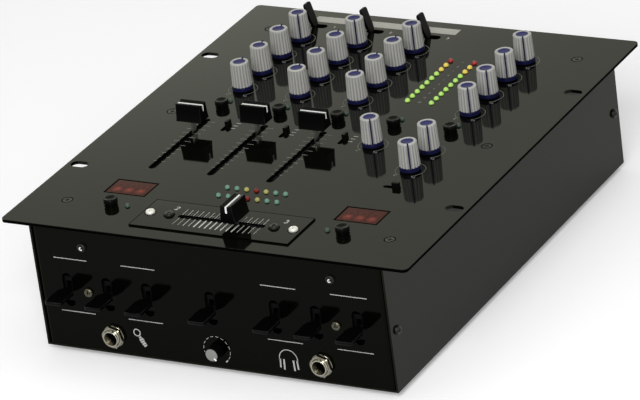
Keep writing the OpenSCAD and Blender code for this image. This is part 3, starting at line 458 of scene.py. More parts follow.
@dataclass(frozen=True)
class Finish:
    """One finish. Colours are linear, and the depth of the grain is in micrometres."""

    name: str
    slot: str
    colour: RGB
    roughness: float
    metallic: float = 0.0
    ior: float = 1.45
    tint: RGB = (1.0, 1.0, 1.0)
    fine_scale: float = 2500.0
    spread: float = 0.08
    grain_um: float = 20.0
    dust: float = 0.0
    wear: float = 0.0
    worn_colour: RGB = (0.3, 0.3, 0.3)
    # How much the flutes darken, from the stored depth: painted shade in the flutes.
    groove: float = 0.0
    # How much brighter the red gets behind each display digit: painted light.
    pools: float = 0.0
    glow: RGB | None = None
    glow_strength: float = 0.0

    def material(self, effects: Effects) -> bpy.types.Material:
        """Builds the procedural material, or returns it if it exists.

        Args:
            effects: The shared shader groups.

        Returns:
            The material.
        """
        label = "look_" + self.name
        known = bpy.data.materials.get(label)
        if known:
            return known
        material = bpy.data.materials.new(label)
        material.use_nodes = True
        graph = Graph(material.node_tree)
        graph.clear()
        shader = graph.add("ShaderNodeBsdfPrincipled")
        grain = graph.add("ShaderNodeGroup", {"node_tree": effects.grain}, Fine_Scale=self.fine_scale,
                          Roughness=self.roughness, Spread=self.spread)
        bump = graph.add("ShaderNodeBump", Height=grain.outputs["Height"], Strength=1.0,
                         Distance=self.grain_um * 1e-6)
        looks = {"Base Color": self._colour(graph, effects), "Roughness": grain.outputs["Roughness"],
                 "Normal": bump.outputs[0], "Metallic": self.metallic, "IOR": self.ior,
                 "Specular Tint": (*self.tint, 1)}
        if self.glow:
            looks |= {"Emission Color": (*self.glow, 1), "Emission Strength": self.glow_strength}
        for name, value in looks.items():
            graph.feed(shader.inputs[name], value)
        graph.link(shader.outputs[0], graph.add("ShaderNodeOutputMaterial").inputs["Surface"])
        return material

    def _colour(self, graph: Graph, effects: Effects) -> Socket:
        """Returns the base colour with mottling, painted shade in flutes, painted light in windows, worn
        edges and dust.

        Args:
            graph: The graph to build in.
            effects: The shared shader groups.

        Returns:
            The socket that holds it.
        """
        mottle = graph.noise(65.0, 3.0)
        dark = (*(c * 0.93 for c in self.colour), 1)
        light = (*(min(1.0, c * 1.07) for c in self.colour), 1)
        colour = graph.mix_colour(mottle, dark, light)
        # Darker colour down in the flutes: painted shade, not a colour of the plastic.
        if self.groove:
            depth = graph.add("ShaderNodeAttribute", {"attribute_name": "groove"}).outputs["Fac"]
            shade = (*(c * (1 - self.groove) for c in self.colour), 1)
            colour = graph.mix_colour(depth, colour, shade)
        # Brighter red behind each display digit: painted light in the window.
        if self.pools:
            pools = graph.add("ShaderNodeGroup", {"node_tree": effects.pools})
            colour = graph.mix_colour(pools.outputs[0], colour, (*(c * self.pools for c in self.colour), 1))
        if self.wear:
            wear = graph.add("ShaderNodeGroup", {"node_tree": effects.wear}, Amount=self.wear)
            colour = graph.mix_colour(wear.outputs[0], colour, (*self.worn_colour, 1))
        if self.dust:
            dust = graph.add("ShaderNodeGroup", {"node_tree": effects.dust}, Amount=self.dust)
            colour = graph.mix_colour(dust.outputs[0], colour, (0.42, 0.41, 0.39, 1))
        return colour


OLIVE = (0.97, 1.0, 0.78)


def ink(name: str, slot: str, colour: RGB) -> Finish:
    """Returns the finish of a print."""
    return Finish(name, slot, colour, 0.5, grain_um=2)


def unlit_lamp(shade: str, colour: RGB) -> Finish:
    """Returns the finish of a lamp that is off."""
    return Finish("lamp_dull_" + shade, "lamp_resin", colour, 0.25, ior=1.3, grain_um=4)


def lit_lamp(shade: str, colour: RGB, glow: RGB, strength: float) -> Finish:
    """Returns the finish of a lamp that is on."""
    return Finish("lamp_lit_" + shade, "lamp_resin", colour, 0.3, glow=glow, glow_strength=strength,
                  grain_um=4)


class Colours(Enum):
    """The finishes of the mixer."""

    GLOSS_PLATE = Finish("gloss_plate", "gloss_panel", (0.0008, 0.0009, 0.0004), 0.05, ior=1.2, tint=OLIVE,
                         grain_um=2, spread=0.03, dust=0.006, wear=0.4, worn_colour=(0.1, 0.1, 0.09))
    SATIN_FRONT = Finish("satin_front", "satin_panel", (0.0006, 0.0006, 0.0005), 0.1, ior=1.135, tint=OLIVE,
                         fine_scale=2200, grain_um=2, dust=0.004, wear=0.4, worn_colour=(0.1, 0.1, 0.095))
    CASE_PAINT = Finish("case_paint", "case_paint", (0.0026, 0.0028, 0.001), 0.14, ior=1.178, tint=OLIVE,
                        fine_scale=1500, grain_um=4, dust=0.005, wear=0.4, worn_colour=(0.12, 0.12, 0.11))
    SEAM_BLACK = Finish("seam_black", "gloss_panel", (0.0004, 0.0004, 0.0004), 0.8, ior=1.05, grain_um=2)
    PRINT_WHITE = ink("print_white", "gloss_panel", (0.5, 0.5, 0.47))
    PRINT_FAINT = ink("print_faint", "gloss_panel", (0.2, 0.2, 0.185))
    PRINT_MID = ink("print_mid", "gloss_panel", (0.34, 0.34, 0.32))
    FRONT_PRINT = ink("front_print_white", "satin_panel", (0.36, 0.36, 0.35))
    HEADER_PALE = Finish("header_pale", "gloss_panel", (0.33, 0.32, 0.29), 0.45, grain_um=2)
    # The grip's colour darkens with the depth of its flutes: painted shade.
    GRIP_GREY = Finish("grip_grey", "knob_plastic", (0.4, 0.397, 0.38), 0.42, ior=1.3, fine_scale=1800,
                       grain_um=10, wear=0.3, worn_colour=(0.5, 0.5, 0.48), groove=0.4)
    TRIM_NAVY = Finish("trim_navy", "knob_plastic", (0.006, 0.0065, 0.036), 0.34, ior=1.2, grain_um=6,
                       wear=0.2, worn_colour=(0.05, 0.05, 0.12))
    DISC_NAVY = Finish("disc_navy", "knob_plastic", (0.026, 0.025, 0.11), 0.4, ior=1.12, grain_um=6)
    CAP_BLACK = Finish("cap_black", "black_plastic", (0.001, 0.001, 0.001), 0.3, ior=1.13, fine_scale=1600,
                       grain_um=10, wear=0.3, worn_colour=(0.05, 0.05, 0.048))
    CAP_LINE = Finish("cap_line", "black_plastic", (0.8, 0.8, 0.78), 0.4, grain_um=4)
    LEVER_BLACK = Finish("lever_black", "black_plastic", (0.0012, 0.0012, 0.0012), 0.28, ior=1.15,
                         grain_um=6, wear=0.3, worn_colour=(0.05, 0.05, 0.05))
    SWITCH_BLACK = Finish("switch_black", "black_plastic", (0.0015, 0.0015, 0.0015), 0.45, ior=1.15,
                          grain_um=10)
    SCREW_BLACK = Finish("screw_black", "screw_steel", (0.012, 0.012, 0.011), 0.35, metallic=0.4, ior=1.3,
                         grain_um=10, wear=0.5, worn_colour=(0.3, 0.3, 0.28))
    SCREW_BRASSY = Finish("screw_brassy", "screw_steel", (0.095, 0.088, 0.065), 0.26, metallic=1.0,
                          grain_um=10, spread=0.15)
    SCREW_PALE = Finish("screw_pale", "screw_steel", (0.72, 0.71, 0.68), 0.3, metallic=0.5, grain_um=10)
    STEEL = Finish("stem_steel", "pot_steel", (0.5, 0.5, 0.49), 0.3, metallic=1.0, grain_um=8)
    POT_STEEL = Finish("pot_steel", "pot_steel", (0.42, 0.42, 0.43), 0.4, metallic=0.9, spread=0.2)
    NICKEL = Finish("nickel", "nickel", (0.4, 0.385, 0.33), 0.2, metallic=1.0, grain_um=6, spread=0.12)
    NUT_NICKEL = Finish("nut_nickel", "nickel", (0.26, 0.245, 0.2), 0.24, metallic=1.0, grain_um=8,
                        spread=0.15)
    # The boards are near black so that the inside of the case reads dark through the slots: painted shade.
    BOARD = Finish("board_laminate", "board_laminate", (0.004, 0.009, 0.005), 0.5, ior=1.2, spread=0.2)
    # The red brightens in soft patches behind the digits: painted light.
    RED_WINDOW = Finish("red_window", "red_window", (0.052, 0.009, 0.006), 0.1, ior=1.11, pools=4.2,
                        grain_um=2)
    SEGMENT_UNLIT = Finish("segment_unlit", "red_window", (0.072, 0.012, 0.008), 0.3, ior=1.1, grain_um=2)
    LAMP_DULL_GREEN = unlit_lamp("green", (0.12, 0.25, 0.18))
    LAMP_DULL_TEAL = unlit_lamp("teal", (0.045, 0.078, 0.062))
    LAMP_DULL_AMBER = unlit_lamp("amber", (0.36, 0.34, 0.11))
    LAMP_DULL_RED = unlit_lamp("red", (0.16, 0.008, 0.006))
    LAMP_LIT_GREEN = lit_lamp("green", (0.26, 0.46, 0.1), (0.4, 0.68, 0.11), 0.42)
    LAMP_LIT_AMBER = lit_lamp("amber", (0.42, 0.32, 0.06), (0.7, 0.5, 0.06), 0.5)
    LAMP_LIT_RED = lit_lamp("red", (0.16, 0.008, 0.007), (0.3, 0.01, 0.01), 0.5)
    RUBBER = Finish("foot_rubber", "foot_rubber", (0.012, 0.012, 0.012), 0.75, fine_scale=900, grain_um=50,
                    dust=0.05)
    CURVE_FACE = Finish("curve_face", "knob_plastic", (0.2, 0.2, 0.19), 0.4, grain_um=10)
    PHONO_RED = Finish("phono_red", "black_plastic", (0.32, 0.008, 0.008), 0.35, grain_um=8)
    PHONO_WHITE = Finish("phono_white", "black_plastic", (0.6, 0.59, 0.56), 0.35, grain_um=8)


# ---------------------------------------------------------------- mesh building

SMOOTH_ANGLE = math.radians(32)
BEVEL_ANGLE = math.radians(38)
FLAT_ANGLE = math.radians(0.3)


def mesh_object(name: str, points: Iterable, faces: Iterable) -> bpy.types.Object:
    """Makes a mesh object from points in metres and links it to the scene.

    Args:
        name: The object's name.
        points: The vertices.
        faces: The faces, as runs of vertex numbers.

    Returns:
        The object.
    """
    mesh = bpy.data.meshes.new(name)
    mesh.from_pydata([tuple(p) for p in points], [], [tuple(f) for f in faces])
    obj = bpy.data.objects.new(name, mesh)
    bpy.context.scene.collection.objects.link(obj)
    return obj


def settle(obj: bpy.types.Object) -> bpy.types.Object:
    """Turns an object with modifiers into a plain mesh and returns it.

    Args:
        obj: The object.

    Returns:
        The same object.
    """
    graph = bpy.context.evaluated_depsgraph_get()
    mesh = bpy.data.meshes.new_from_object(obj.evaluated_get(graph), depsgraph=graph)
    obj.modifiers.clear()
    obj.data = mesh
    return obj


def circle(radius: float, steps: int, z: float, start: float = 0.0) -> list[Vector]:
    """Returns the points of a circle about the Z axis."""
    angles = [start + TAU * i / steps for i in range(steps)]
    return [Vector((radius * math.cos(a), radius * math.sin(a), z)) for a in angles]


def arc(centre: Sequence[float], radius: float, start: float, end: float,
        steps: int) -> list[tuple[float, float]]:
    """Returns points of a plane arc, with its angles in degrees."""
    angles = [math.radians(start + (end - start) * i / steps) for i in range(steps + 1)]
    return [(centre[0] + radius * math.cos(a), centre[1] + radius * math.sin(a)) for a in angles]


def seat(origin: Sequence[float], right: Vector, normal: Vector) -> Matrix:
    """Returns the frame at the origin, in millimetres, whose X is `right` and whose Z is `normal`."""
    turn = Matrix((right, normal.cross(right), normal)).transposed().to_4x4()
    return Matrix.Translation(Vector(origin)) @ turn


def turned(profile: Sequence[tuple[float, float]], steps: int) -> list[list[Vector]]:
    """Returns the rings of a profile of (radius, height) points. A point on the axis is a pole."""
    return [circle(r, steps, z) if r > TINY else [Vector((0, 0, z))] for r, z in profile]


class Shape:
    """A mesh in the making. Its points are in millimetres, in the frame of its seat."""

    def __init__(self, place: Matrix | None = None) -> None:
        """Starts an empty mesh on a seat."""
        self.mesh = bmesh.new()
        self.place = place or Matrix.Identity(4)

    def loft(self, rings: Sequence[Sequence], loop: bool = False, caps: bool = True) -> "Shape":
        """Joins rings of points into a skin. A ring of one point is a pole.

        Args:
            rings: The rings, each with as many points as the others or just one.
            loop: Whether the last ring joins the first.
            caps: Whether the open ends are closed.

        Returns:
            The shape itself.
        """
        rows = [[self.mesh.verts.new(self.place @ Vector(p)) for p in ring] for ring in rings]
        pairs = list(zip(rows, rows[1:])) + ([(rows[-1], rows[0])] if loop else [])
        for low, high in pairs:
            count = max(len(low), len(high))
            for i in range(count):
                j = (i + 1) % count
                corners = [low[i % len(low)], low[j % len(low)], high[j % len(high)], high[i % len(high)]]
                unique = list(dict.fromkeys(corners))
                if len(unique) > 2:
                    self.mesh.faces.new(unique)
        if caps and not loop:
            for row in (rows[0], rows[-1]):
                if len(row) > 2:
                    self.mesh.faces.new(row)
        return self

    def lathe(self, profile: Sequence[tuple[float, float]], steps: int, loop: bool = False) -> "Shape":
        """Turns a profile of (radius, height) points about the Z axis. With `loop` it closes on itself."""
        return self.loft(turned(profile, steps), loop=loop)

    def prism(self, outline: Sequence[tuple[float, float]], low: float, high: float) -> "Shape":
        """Extrudes a plane outline from one height to another."""
        return self.loft([[(x, y, z) for x, y in outline] for z in (low, high)])

    def block(self, x: float, y: float, low: float, high: float, at: Sequence[float] = (0, 0)) -> "Shape":
        """A block centred on `at`."""
        corners = [(-1, -1), (1, -1), (1, 1), (-1, 1)]
        return self.prism([(at[0] + sx * x / 2, at[1] + sy * y / 2) for sx, sy in corners], low, high)

    def stroke(self, line: Sequence[tuple[float, float]], width: float, low: float = -0.02,
               high: float = 0.05, loop: bool = False) -> "Shape":
        """Draws a flat line of even width.

        Args:
            line: Its points in the seat's plane.
            width: Its width.
            low: The height of its underside.
            high: The height of its face.
            loop: Whether it closes on itself.

        Returns:
            The shape itself.
        """
        points = [Vector(p) for p in line]
        rings = []
        for i, point in enumerate(points):
            before = points[i - 1] if i or loop else point
            after = points[(i + 1) % len(points)] if i + 1 < len(points) or loop else point
            first, second = (point - before), (after - point)
            first = first.normalized() if first.length else second.normalized()
            second = second.normalized() if second.length else first
            middle = (first + second).normalized()
            side = Vector((-middle.y, middle.x)) * (width / 2 / max(0.5, middle.dot(first)))
            left, right = point + side, point - side
            rings.append([(*left, low), (*right, low), (*right, high), (*left, high)])
        return self.loft(rings, loop=loop)

    def bevel(self, width: float, segments: int) -> "Shape":
        """Rounds the sharp edges and marks the new faces for wear.

        Args:
            width: The width of the rounding.
            segments: The number of steps across it.

        Returns:
            The shape itself.
        """
        layer = self.mesh.faces.layers.float.get("edge") or self.mesh.faces.layers.float.new("edge")
        bmesh.ops.recalc_face_normals(self.mesh, faces=self.mesh.faces)
        edges = [e for e in self.mesh.edges if e.is_manifold and e.calc_face_angle() > BEVEL_ANGLE]
        result = bmesh.ops.bevel(self.mesh, geom=edges, offset=width, segments=segments, profile=0.6,
                                 affect="EDGES", clamp_overlap=True)
        for face in result["faces"]:
            face[layer] = 1.0
        return self

    def to_object(self, name: str, weighted: bool = False) -> bpy.types.Object:
        """Makes the object, in metres, with its faces outwards.

        Args:
            name: The object's name.
            weighted: Whether the normals lean towards the large faces, for a shape with rounded edges.

        Returns:
            The object.
        """
        bmesh.ops.recalc_face_normals(self.mesh, faces=self.mesh.faces)
        bmesh.ops.scale(self.mesh, vec=(MM, MM, MM), verts=self.mesh.verts)
        mesh = bpy.data.meshes.new(name)
        self.mesh.to_mesh(mesh)
        self.mesh.free()
        mesh.shade_smooth()
        obj = bpy.data.objects.new(name, mesh)
        bpy.context.scene.collection.objects.link(obj)
        if weighted:
            obj.modifiers.new("weighted", "WEIGHTED_NORMAL")
            return settle(obj)
        mesh.set_sharp_from_angle(angle=SMOOTH_ANGLE)
        return obj


@dataclass(frozen=True)
class Extent:
    """A box in millimetres."""

    low: Vector
    high: Vector

    @property
    def middle(self) -> Vector:
        """The middle of the box."""
        return (self.low + self.high) / 2

    @property
    def size(self) -> Vector:
        """The sides of the box."""
        return self.high - self.low


def extent(node: str) -> Extent:
    """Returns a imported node's box."""
    low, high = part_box(node)
    return Extent(low / MM, high / MM)


def plate_face() -> float:
    """Returns the height of the top plate's face."""
    return extent("top_panel").high.z


def front_face() -> float:
    """Returns where the front panel's face lies along Y."""
    return extent("front_panel").low.y


def rim_of(box: Extent, inset: float) -> list[tuple[float, float]]:
    """Returns the corners of a box's top, moved inwards by the inset."""
    x0, y0, x1, y1 = box.low.x + inset, box.low.y + inset, box.high.x - inset, box.high.y - inset
    return [(x0, y0), (x1, y0), (x1, y1), (x0, y1)]


def solids(node: str) -> list[Extent]:
    """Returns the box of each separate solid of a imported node.

    Args:
        node: The node's name.

    Returns:
        The boxes.
    """
    mesh = bmesh.new()
    mesh.from_mesh(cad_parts[node].data)
    bmesh.ops.remove_doubles(mesh, verts=mesh.verts, dist=TINY)
    found, seen = [], set()
    for start in mesh.verts:
        if start in seen:
            continue
        seen.add(start)
        group, rest = [], [start]
        while rest:
            vert = rest.pop()
            group.append(vert.co.copy())
            for edge in vert.link_edges:
                other = edge.other_vert(vert)
                if other not in seen:
                    seen.add(other)
                    rest.append(other)
        low = Vector([min(p[i] for p in group) for i in range(3)])
        high = Vector([max(p[i] for p in group) for i in range(3)])
        found.append(Extent(low / MM, high / MM))
    mesh.free()
    return found


def softened_copy(node: str, name: str, width: float) -> bpy.types.Object:
    """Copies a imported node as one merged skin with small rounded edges.

    Args:
        node: The node's name.
        name: The copy's name.
        width: The width of the rounding, in millimetres.

    Returns:
        The copy.
    """
    shape = Shape()
    shape.mesh.from_mesh(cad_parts[node].data)
    bmesh.ops.remove_doubles(shape.mesh, verts=shape.mesh.verts, dist=TINY)
    bmesh.ops.scale(shape.mesh, vec=(1 / MM,) * 3, verts=shape.mesh.verts)
    bmesh.ops.dissolve_limit(shape.mesh, angle_limit=FLAT_ANGLE, verts=shape.mesh.verts,
                             edges=shape.mesh.edges)
    shape.bevel(width, 1)
    return shape.to_object(name, weighted=True)


# ---------------------------------------------------------------- geometry node trees


class Trees:
    """The geometry node trees: copies on points, tick rows, dial arcs and flutes."""

    def __init__(self) -> None:
        """Builds the four trees."""
        self.copies = self._copies()
        self.ticks = self._ticks()
        self.dials = self._dials()
        self.flutes = self._flutes()

    @staticmethod
    def _end(graph: Graph, result: Socket, given: dict, wanted: dict) -> bpy.types.NodeTree:
        """Realizes the instances, sets the material and returns the tree.

        Args:
            graph: The graph to build in.
            result: The socket with the finished geometry.
            given: The sockets of the tree's inputs.
            wanted: The sockets of its outputs.

        Returns:
            The tree.
        """
        real = graph.add("GeometryNodeRealizeInstances", Geometry=result)
        last = graph.add("GeometryNodeSetMaterial", Geometry=real.outputs[0], Material=given["Material"])
        graph.link(last.outputs[0], wanted["Geometry"])
        return graph.tree

    def _copies(self) -> bpy.types.NodeTree:
        """Puts a copy of a part on each point, turned by the point's attribute `turn`."""
        graph, given, wanted = new_tree("copies_on_points", {"Part": ("NodeSocketObject", None)})
        part = graph.add("GeometryNodeObjectInfo", Object=given["Part"])
        turn = graph.add("GeometryNodeInputNamedAttribute", {"data_type": "FLOAT_VECTOR"}, Name="turn")
        rotation = graph.add("FunctionNodeEulerToRotation", Euler=turn.outputs[0])
        spread = graph.add("GeometryNodeInstanceOnPoints", Points=given["Geometry"],
                           Instance=part.outputs["Geometry"], Rotation=rotation.outputs[0])
        return self._end(graph, spread.outputs[0], given, wanted)

    def _ticks(self) -> bpy.types.NodeTree:
        """A row of flat ticks from each point. A tick starts at its row's line and may outgrow the last."""
        graph, given, wanted = new_tree(
            "tick_row",
            {"Count": ("NodeSocketInt", 11), "Step": ("NodeSocketVector", (0, 0.005, 0)),
             "Size": ("NodeSocketVector", (0.004, 0.0003, 0.00006)), "Grow": (FLOAT, 0.0),
             "Turn": (FLOAT, 0.0)},
        )
        row = graph.add("GeometryNodeMeshLine", Count=given["Count"], Offset=given["Step"])
        tick = graph.add("GeometryNodeMeshCube", Size=given["Size"])
        half = graph.vector("MULTIPLY", given["Size"], (0.5, 0.0, 0.0))
        begun = graph.add("GeometryNodeSetPosition", Geometry=tick.outputs[0], Offset=half)
        index = graph.add("GeometryNodeInputIndex").outputs[0]
        longer = graph.math("MULTIPLY_ADD", index, given["Grow"], 1.0)
        scale = graph.add("ShaderNodeCombineXYZ", X=longer, Y=1.0, Z=1.0)
        ticks = graph.add("GeometryNodeInstanceOnPoints", Points=row.outputs[0], Instance=begun.outputs[0],
                          Scale=scale.outputs[0])
        rotation = graph.add("ShaderNodeCombineXYZ", Z=given["Turn"])
        rows = graph.add("GeometryNodeInstanceOnPoints", Points=given["Geometry"], Instance=ticks.outputs[0],
                         Rotation=rotation.outputs[0])
        return self._end(graph, rows.outputs[0], given, wanted)

    def _dials(self) -> bpy.types.NodeTree:
        """A thin arc around each point."""
        graph, given, wanted = new_tree(
            "dial_scale",
            {"Radius": (FLOAT, 0.0086), "Start": (FLOAT, -1.05), "Sweep": (FLOAT, 5.24),
             "Width": (FLOAT, 0.0003), "Height": (FLOAT, 0.00006)},
        )
        curve = graph.add("GeometryNodeCurveArc", Resolution=48, Radius=given["Radius"],
                          Start_Angle=given["Start"], Sweep_Angle=given["Sweep"])
        bar = graph.add("GeometryNodeCurvePrimitiveQuadrilateral", Width=given["Width"],
                        Height=given["Height"])
        solid = graph.add("GeometryNodeCurveToMesh", Curve=curve.outputs[0], Profile_Curve=bar.outputs[0],
                          Fill_Caps=True)
        spread = graph.add("GeometryNodeInstanceOnPoints", Points=given["Geometry"],
                           Instance=solid.outputs[0])
        return self._end(graph, spread.outputs[0], given, wanted)

    def _flutes(self) -> bpy.types.NodeTree:
        """Presses narrow flutes into a turned grip, which run out below its rim, and stores their depth for
        painted shade.
        """
        graph, given, wanted = new_tree(
            "fluted_grip",
            {"Flutes": (FLOAT, 18.0), "Depth": (FLOAT, 0.0004), "Rim": (FLOAT, 0.016),
             "Run Out": (FLOAT, 0.0012), "Narrowness": (FLOAT, 3.0)},
        )
        place = graph.add("GeometryNodeInputPosition").outputs[0]
        parts = graph.add("ShaderNodeSeparateXYZ", Vector=place).outputs
        angle = graph.math("MULTIPLY", graph.math("ARCTAN2", parts["Y"], parts["X"]), given["Flutes"])
        wave = graph.math("MULTIPLY_ADD", graph.math("COSINE", angle), 0.5, 0.5)
        groove = graph.math("POWER", wave, given["Narrowness"])
        rise = graph.math("DIVIDE", graph.math("SUBTRACT", given["Rim"], parts["Z"]), given["Run Out"])
        inside = graph.math("MINIMUM", graph.math("MAXIMUM", rise, 0.0), 1.0)
        across = graph.add("ShaderNodeCombineXYZ", X=parts["X"], Y=parts["Y"])
        outward = graph.vector("NORMALIZE", across.outputs[0])
        shade = graph.math("MULTIPLY", groove, inside)
        press = graph.math("MULTIPLY", shade, given["Depth"])
        shift = graph.vector("SCALE", outward, scale=graph.scaled(press, -1.0))
        # The stored depth darkens the grip's colour in its finish: painted shade in the flutes.
        marked = graph.add("GeometryNodeStoreNamedAttribute", {"data_type": "FLOAT", "domain": "POINT"},
                           Geometry=given["Geometry"], Name="groove", Value=shade)
        moved = graph.add("GeometryNodeSetPosition", Geometry=marked.outputs[0], Offset=shift)
        return self._end(graph, moved.outputs[0], given, wanted)


def run_tree(obj: bpy.types.Object, tree: bpy.types.NodeTree, inputs: dict) -> bpy.types.Object:
    """Runs a tree on an object and leaves a plain mesh.

    Args:
        obj: The object with the tree's first geometry.
        tree: The tree.
        inputs: Values by the name of the tree's input.

    Returns:
        The object.
    """
    modifier = obj.modifiers.new(tree.name, "NODES")
    modifier.node_group = tree
    names = {item.name: item.identifier for item in tree.interface.items_tree if item.in_out == "INPUT"}
    for name, value in inputs.items():
        modifier[names[name]] = value
    return settle(obj)


# ---------------------------------------------------------------- the bench


class Bench:
    """Holds the shared groups and trees, and fits each piece to its body."""

    def __init__(self) -> None:
        """Builds what the pieces share."""
        self.effects = Effects()
        self.trees = Trees()

    def material(self, colour: Colours) -> bpy.types.Material:
        """Returns a finish's material."""
        return colour.value.material(self.effects)

    def fit(self, obj: bpy.types.Object, colour: Colours, body: str, *nodes: str) -> bpy.types.Object:
        """Dresses a piece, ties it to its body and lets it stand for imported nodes.

        Args:
            obj: The piece, in place.
            colour: Its finish.
            body: The body it rides on.
            *nodes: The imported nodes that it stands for.

        Returns:
            The piece.
        """
        obj.data.materials.clear()
        obj.data.materials.append(self.material(colour))
        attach(obj, body)
        if nodes:
            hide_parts(*nodes)
        LOG.info("%s: %d faces on %s", obj.name, len(obj.data.polygons), body)
        return obj

    def mould(self, shape: Shape, name: str, colour: Colours, body: str, *nodes: str,
              weighted: bool = False) -> bpy.types.Object:
        """Turns a shape into a fitted piece. See `Shape.to_object` and `fit` for the arguments."""
        return self.fit(shape.to_object(name, weighted), colour, body, *nodes)

    def copies(self, name: str, part: Shape, seats: Sequence[Matrix], colour: Colours, body: str,
               *nodes: str) -> bpy.types.Object:
        """Makes one piece of many equal parts.

        Args:
            name: The piece's name.
            part: The part, about the origin.
            seats: A frame for each copy, with its origin in millimetres.
            colour: The finish.
            body: The body that carries them.
            *nodes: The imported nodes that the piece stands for.

        Returns:
            The piece.
        """
        model = part.to_object(name + "_model")
        points = mesh_object(name, [s.translation * MM for s in seats], [])
        turns = points.data.attributes.new("turn", "FLOAT_VECTOR", "POINT")
        for item, place in zip(turns.data, seats):
            item.vector = place.to_euler()
        run_tree(points, self.trees.copies, {"Part": model, "Material": self.material(colour)})
        bpy.data.objects.remove(model)
        return self.fit(points, colour, body, *nodes)

    def moved_copy(self, model: bpy.types.Object, name: str, place: Matrix) -> bpy.types.Object:
        """Copies a piece that was made about the origin to a seat, with its place in its mesh.

        Args:
            model: The piece.
            name: The copy's name.
            place: The frame of the seat, in millimetres.

        Returns:
            The copy.
        """
        obj = bpy.data.objects.new(name, model.data.copy())
        shift = Matrix.Translation(place.translation * MM) @ place.to_3x3().to_4x4()
        obj.data.transform(shift)
        bpy.context.scene.collection.objects.link(obj)
        return obj

    def ticks(self, name: str, starts: Sequence[Sequence[float]], count: int, pitch: float,
              size: Sequence[float], colour: Colours, grow: float, turn: float = 0.0) -> bpy.types.Object:
        """Prints equal rows of ticks on the case, with places and sizes in millimetres.

        Args:
            name: The object's name.
            starts: The start of each row.
            count: The number of ticks in a row.
            pitch: The distance between ticks, along Y before the turn.
            size: A tick's length, width and height. It runs along X before the turn.
            colour: The finish.
            grow: How much longer each tick is than the one before, as a share of the first.
            turn: The turn of a row about its start, in degrees.

        Returns:
            The printed piece.
        """
        obj = mesh_object(name, [Vector(s) * MM for s in starts], [])
        inputs = {"Count": count, "Step": (0.0, pitch * MM, 0.0), "Size": tuple(Vector(size) * MM),
                  "Grow": grow, "Turn": math.radians(turn), "Material": self.material(colour)}
        return self.fit(run_tree(obj, self.trees.ticks, inputs), colour, CASE)


# ---------------------------------------------------------------- case


@dataclass
class Case:
    """The plates, the folded cover and the feet."""

    bench: Bench
    plate_edge: float = 0.35
    sheet_edge: float = 0.3
    foot_ribs: int = 3
    foot_hole: float = 1.7
    foot_hollow: tuple[float, float] = (4.2, 2.3)

    def build(self) -> None:
        """Dresses every sheet and moulds the feet."""
        sheets = {
            "top_panel": (Colours.GLOSS_PLATE, self.plate_edge),
            "crossfader_plate": (Colours.GLOSS_PLATE, self.sheet_edge),
            "front_panel": (Colours.SATIN_FRONT, self.sheet_edge),
            "rear_panel": (Colours.CASE_PAINT, self.sheet_edge),
            "bottom_cover": (Colours.CASE_PAINT, self.sheet_edge),
        }
        for node, (colour, edge) in sheets.items():
            self.bench.fit(softened_copy(node, node + "_sheet", edge), colour, CASE, node)
        self._feet()

    def _feet(self) -> None:
        """Turns the rubber feet with ribs about their sides and a hollow for the screw."""
        feet = solids("rubber_feet")
        height, radius = feet[0].size.z, feet[0].size.x / 2
        hollow_r, hollow_z = self.foot_hollow
        profile = [(hollow_r, 0.0), (radius - 1.6, 0.0), (radius - 1.0, 0.5)]
        pitch = (height - 1.0) / self.foot_ribs
        for i in range(self.foot_ribs):
            base = 0.5 + i * pitch
            out = radius - 1.0 + (i + 1) / self.foot_ribs
            profile += [(out - 0.35, base + 0.15 * pitch), (out, base + 0.4 * pitch),
                        (out, base + 0.8 * pitch)]
        profile += [(radius - 0.1, height), (self.foot_hole, height), (self.foot_hole, hollow_z),
                    (hollow_r, hollow_z)]
        seats = [seat((f.middle.x, f.middle.y, f.low.z), RIGHT, UP) for f in feet]
        self.bench.copies("rubber_feet_turned", Shape().lathe(profile, 36, loop=True), seats,
                          Colours.RUBBER, CASE, "rubber_feet")


@dataclass
class Inside:
    """The boards, potentiometers and switch bodies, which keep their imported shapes."""

    bench: Bench

    def build(self) -> None:
        """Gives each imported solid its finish."""
        for node, colour in (("circuit_boards", Colours.BOARD), ("potentiometers", Colours.POT_STEEL),
                             ("switch_bodies", Colours.SWITCH_BLACK)):
            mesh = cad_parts[node].data
            mesh.materials.clear()
            mesh.materials.append(self.bench.material(colour))


# ---------------------------------------------------------------- screws


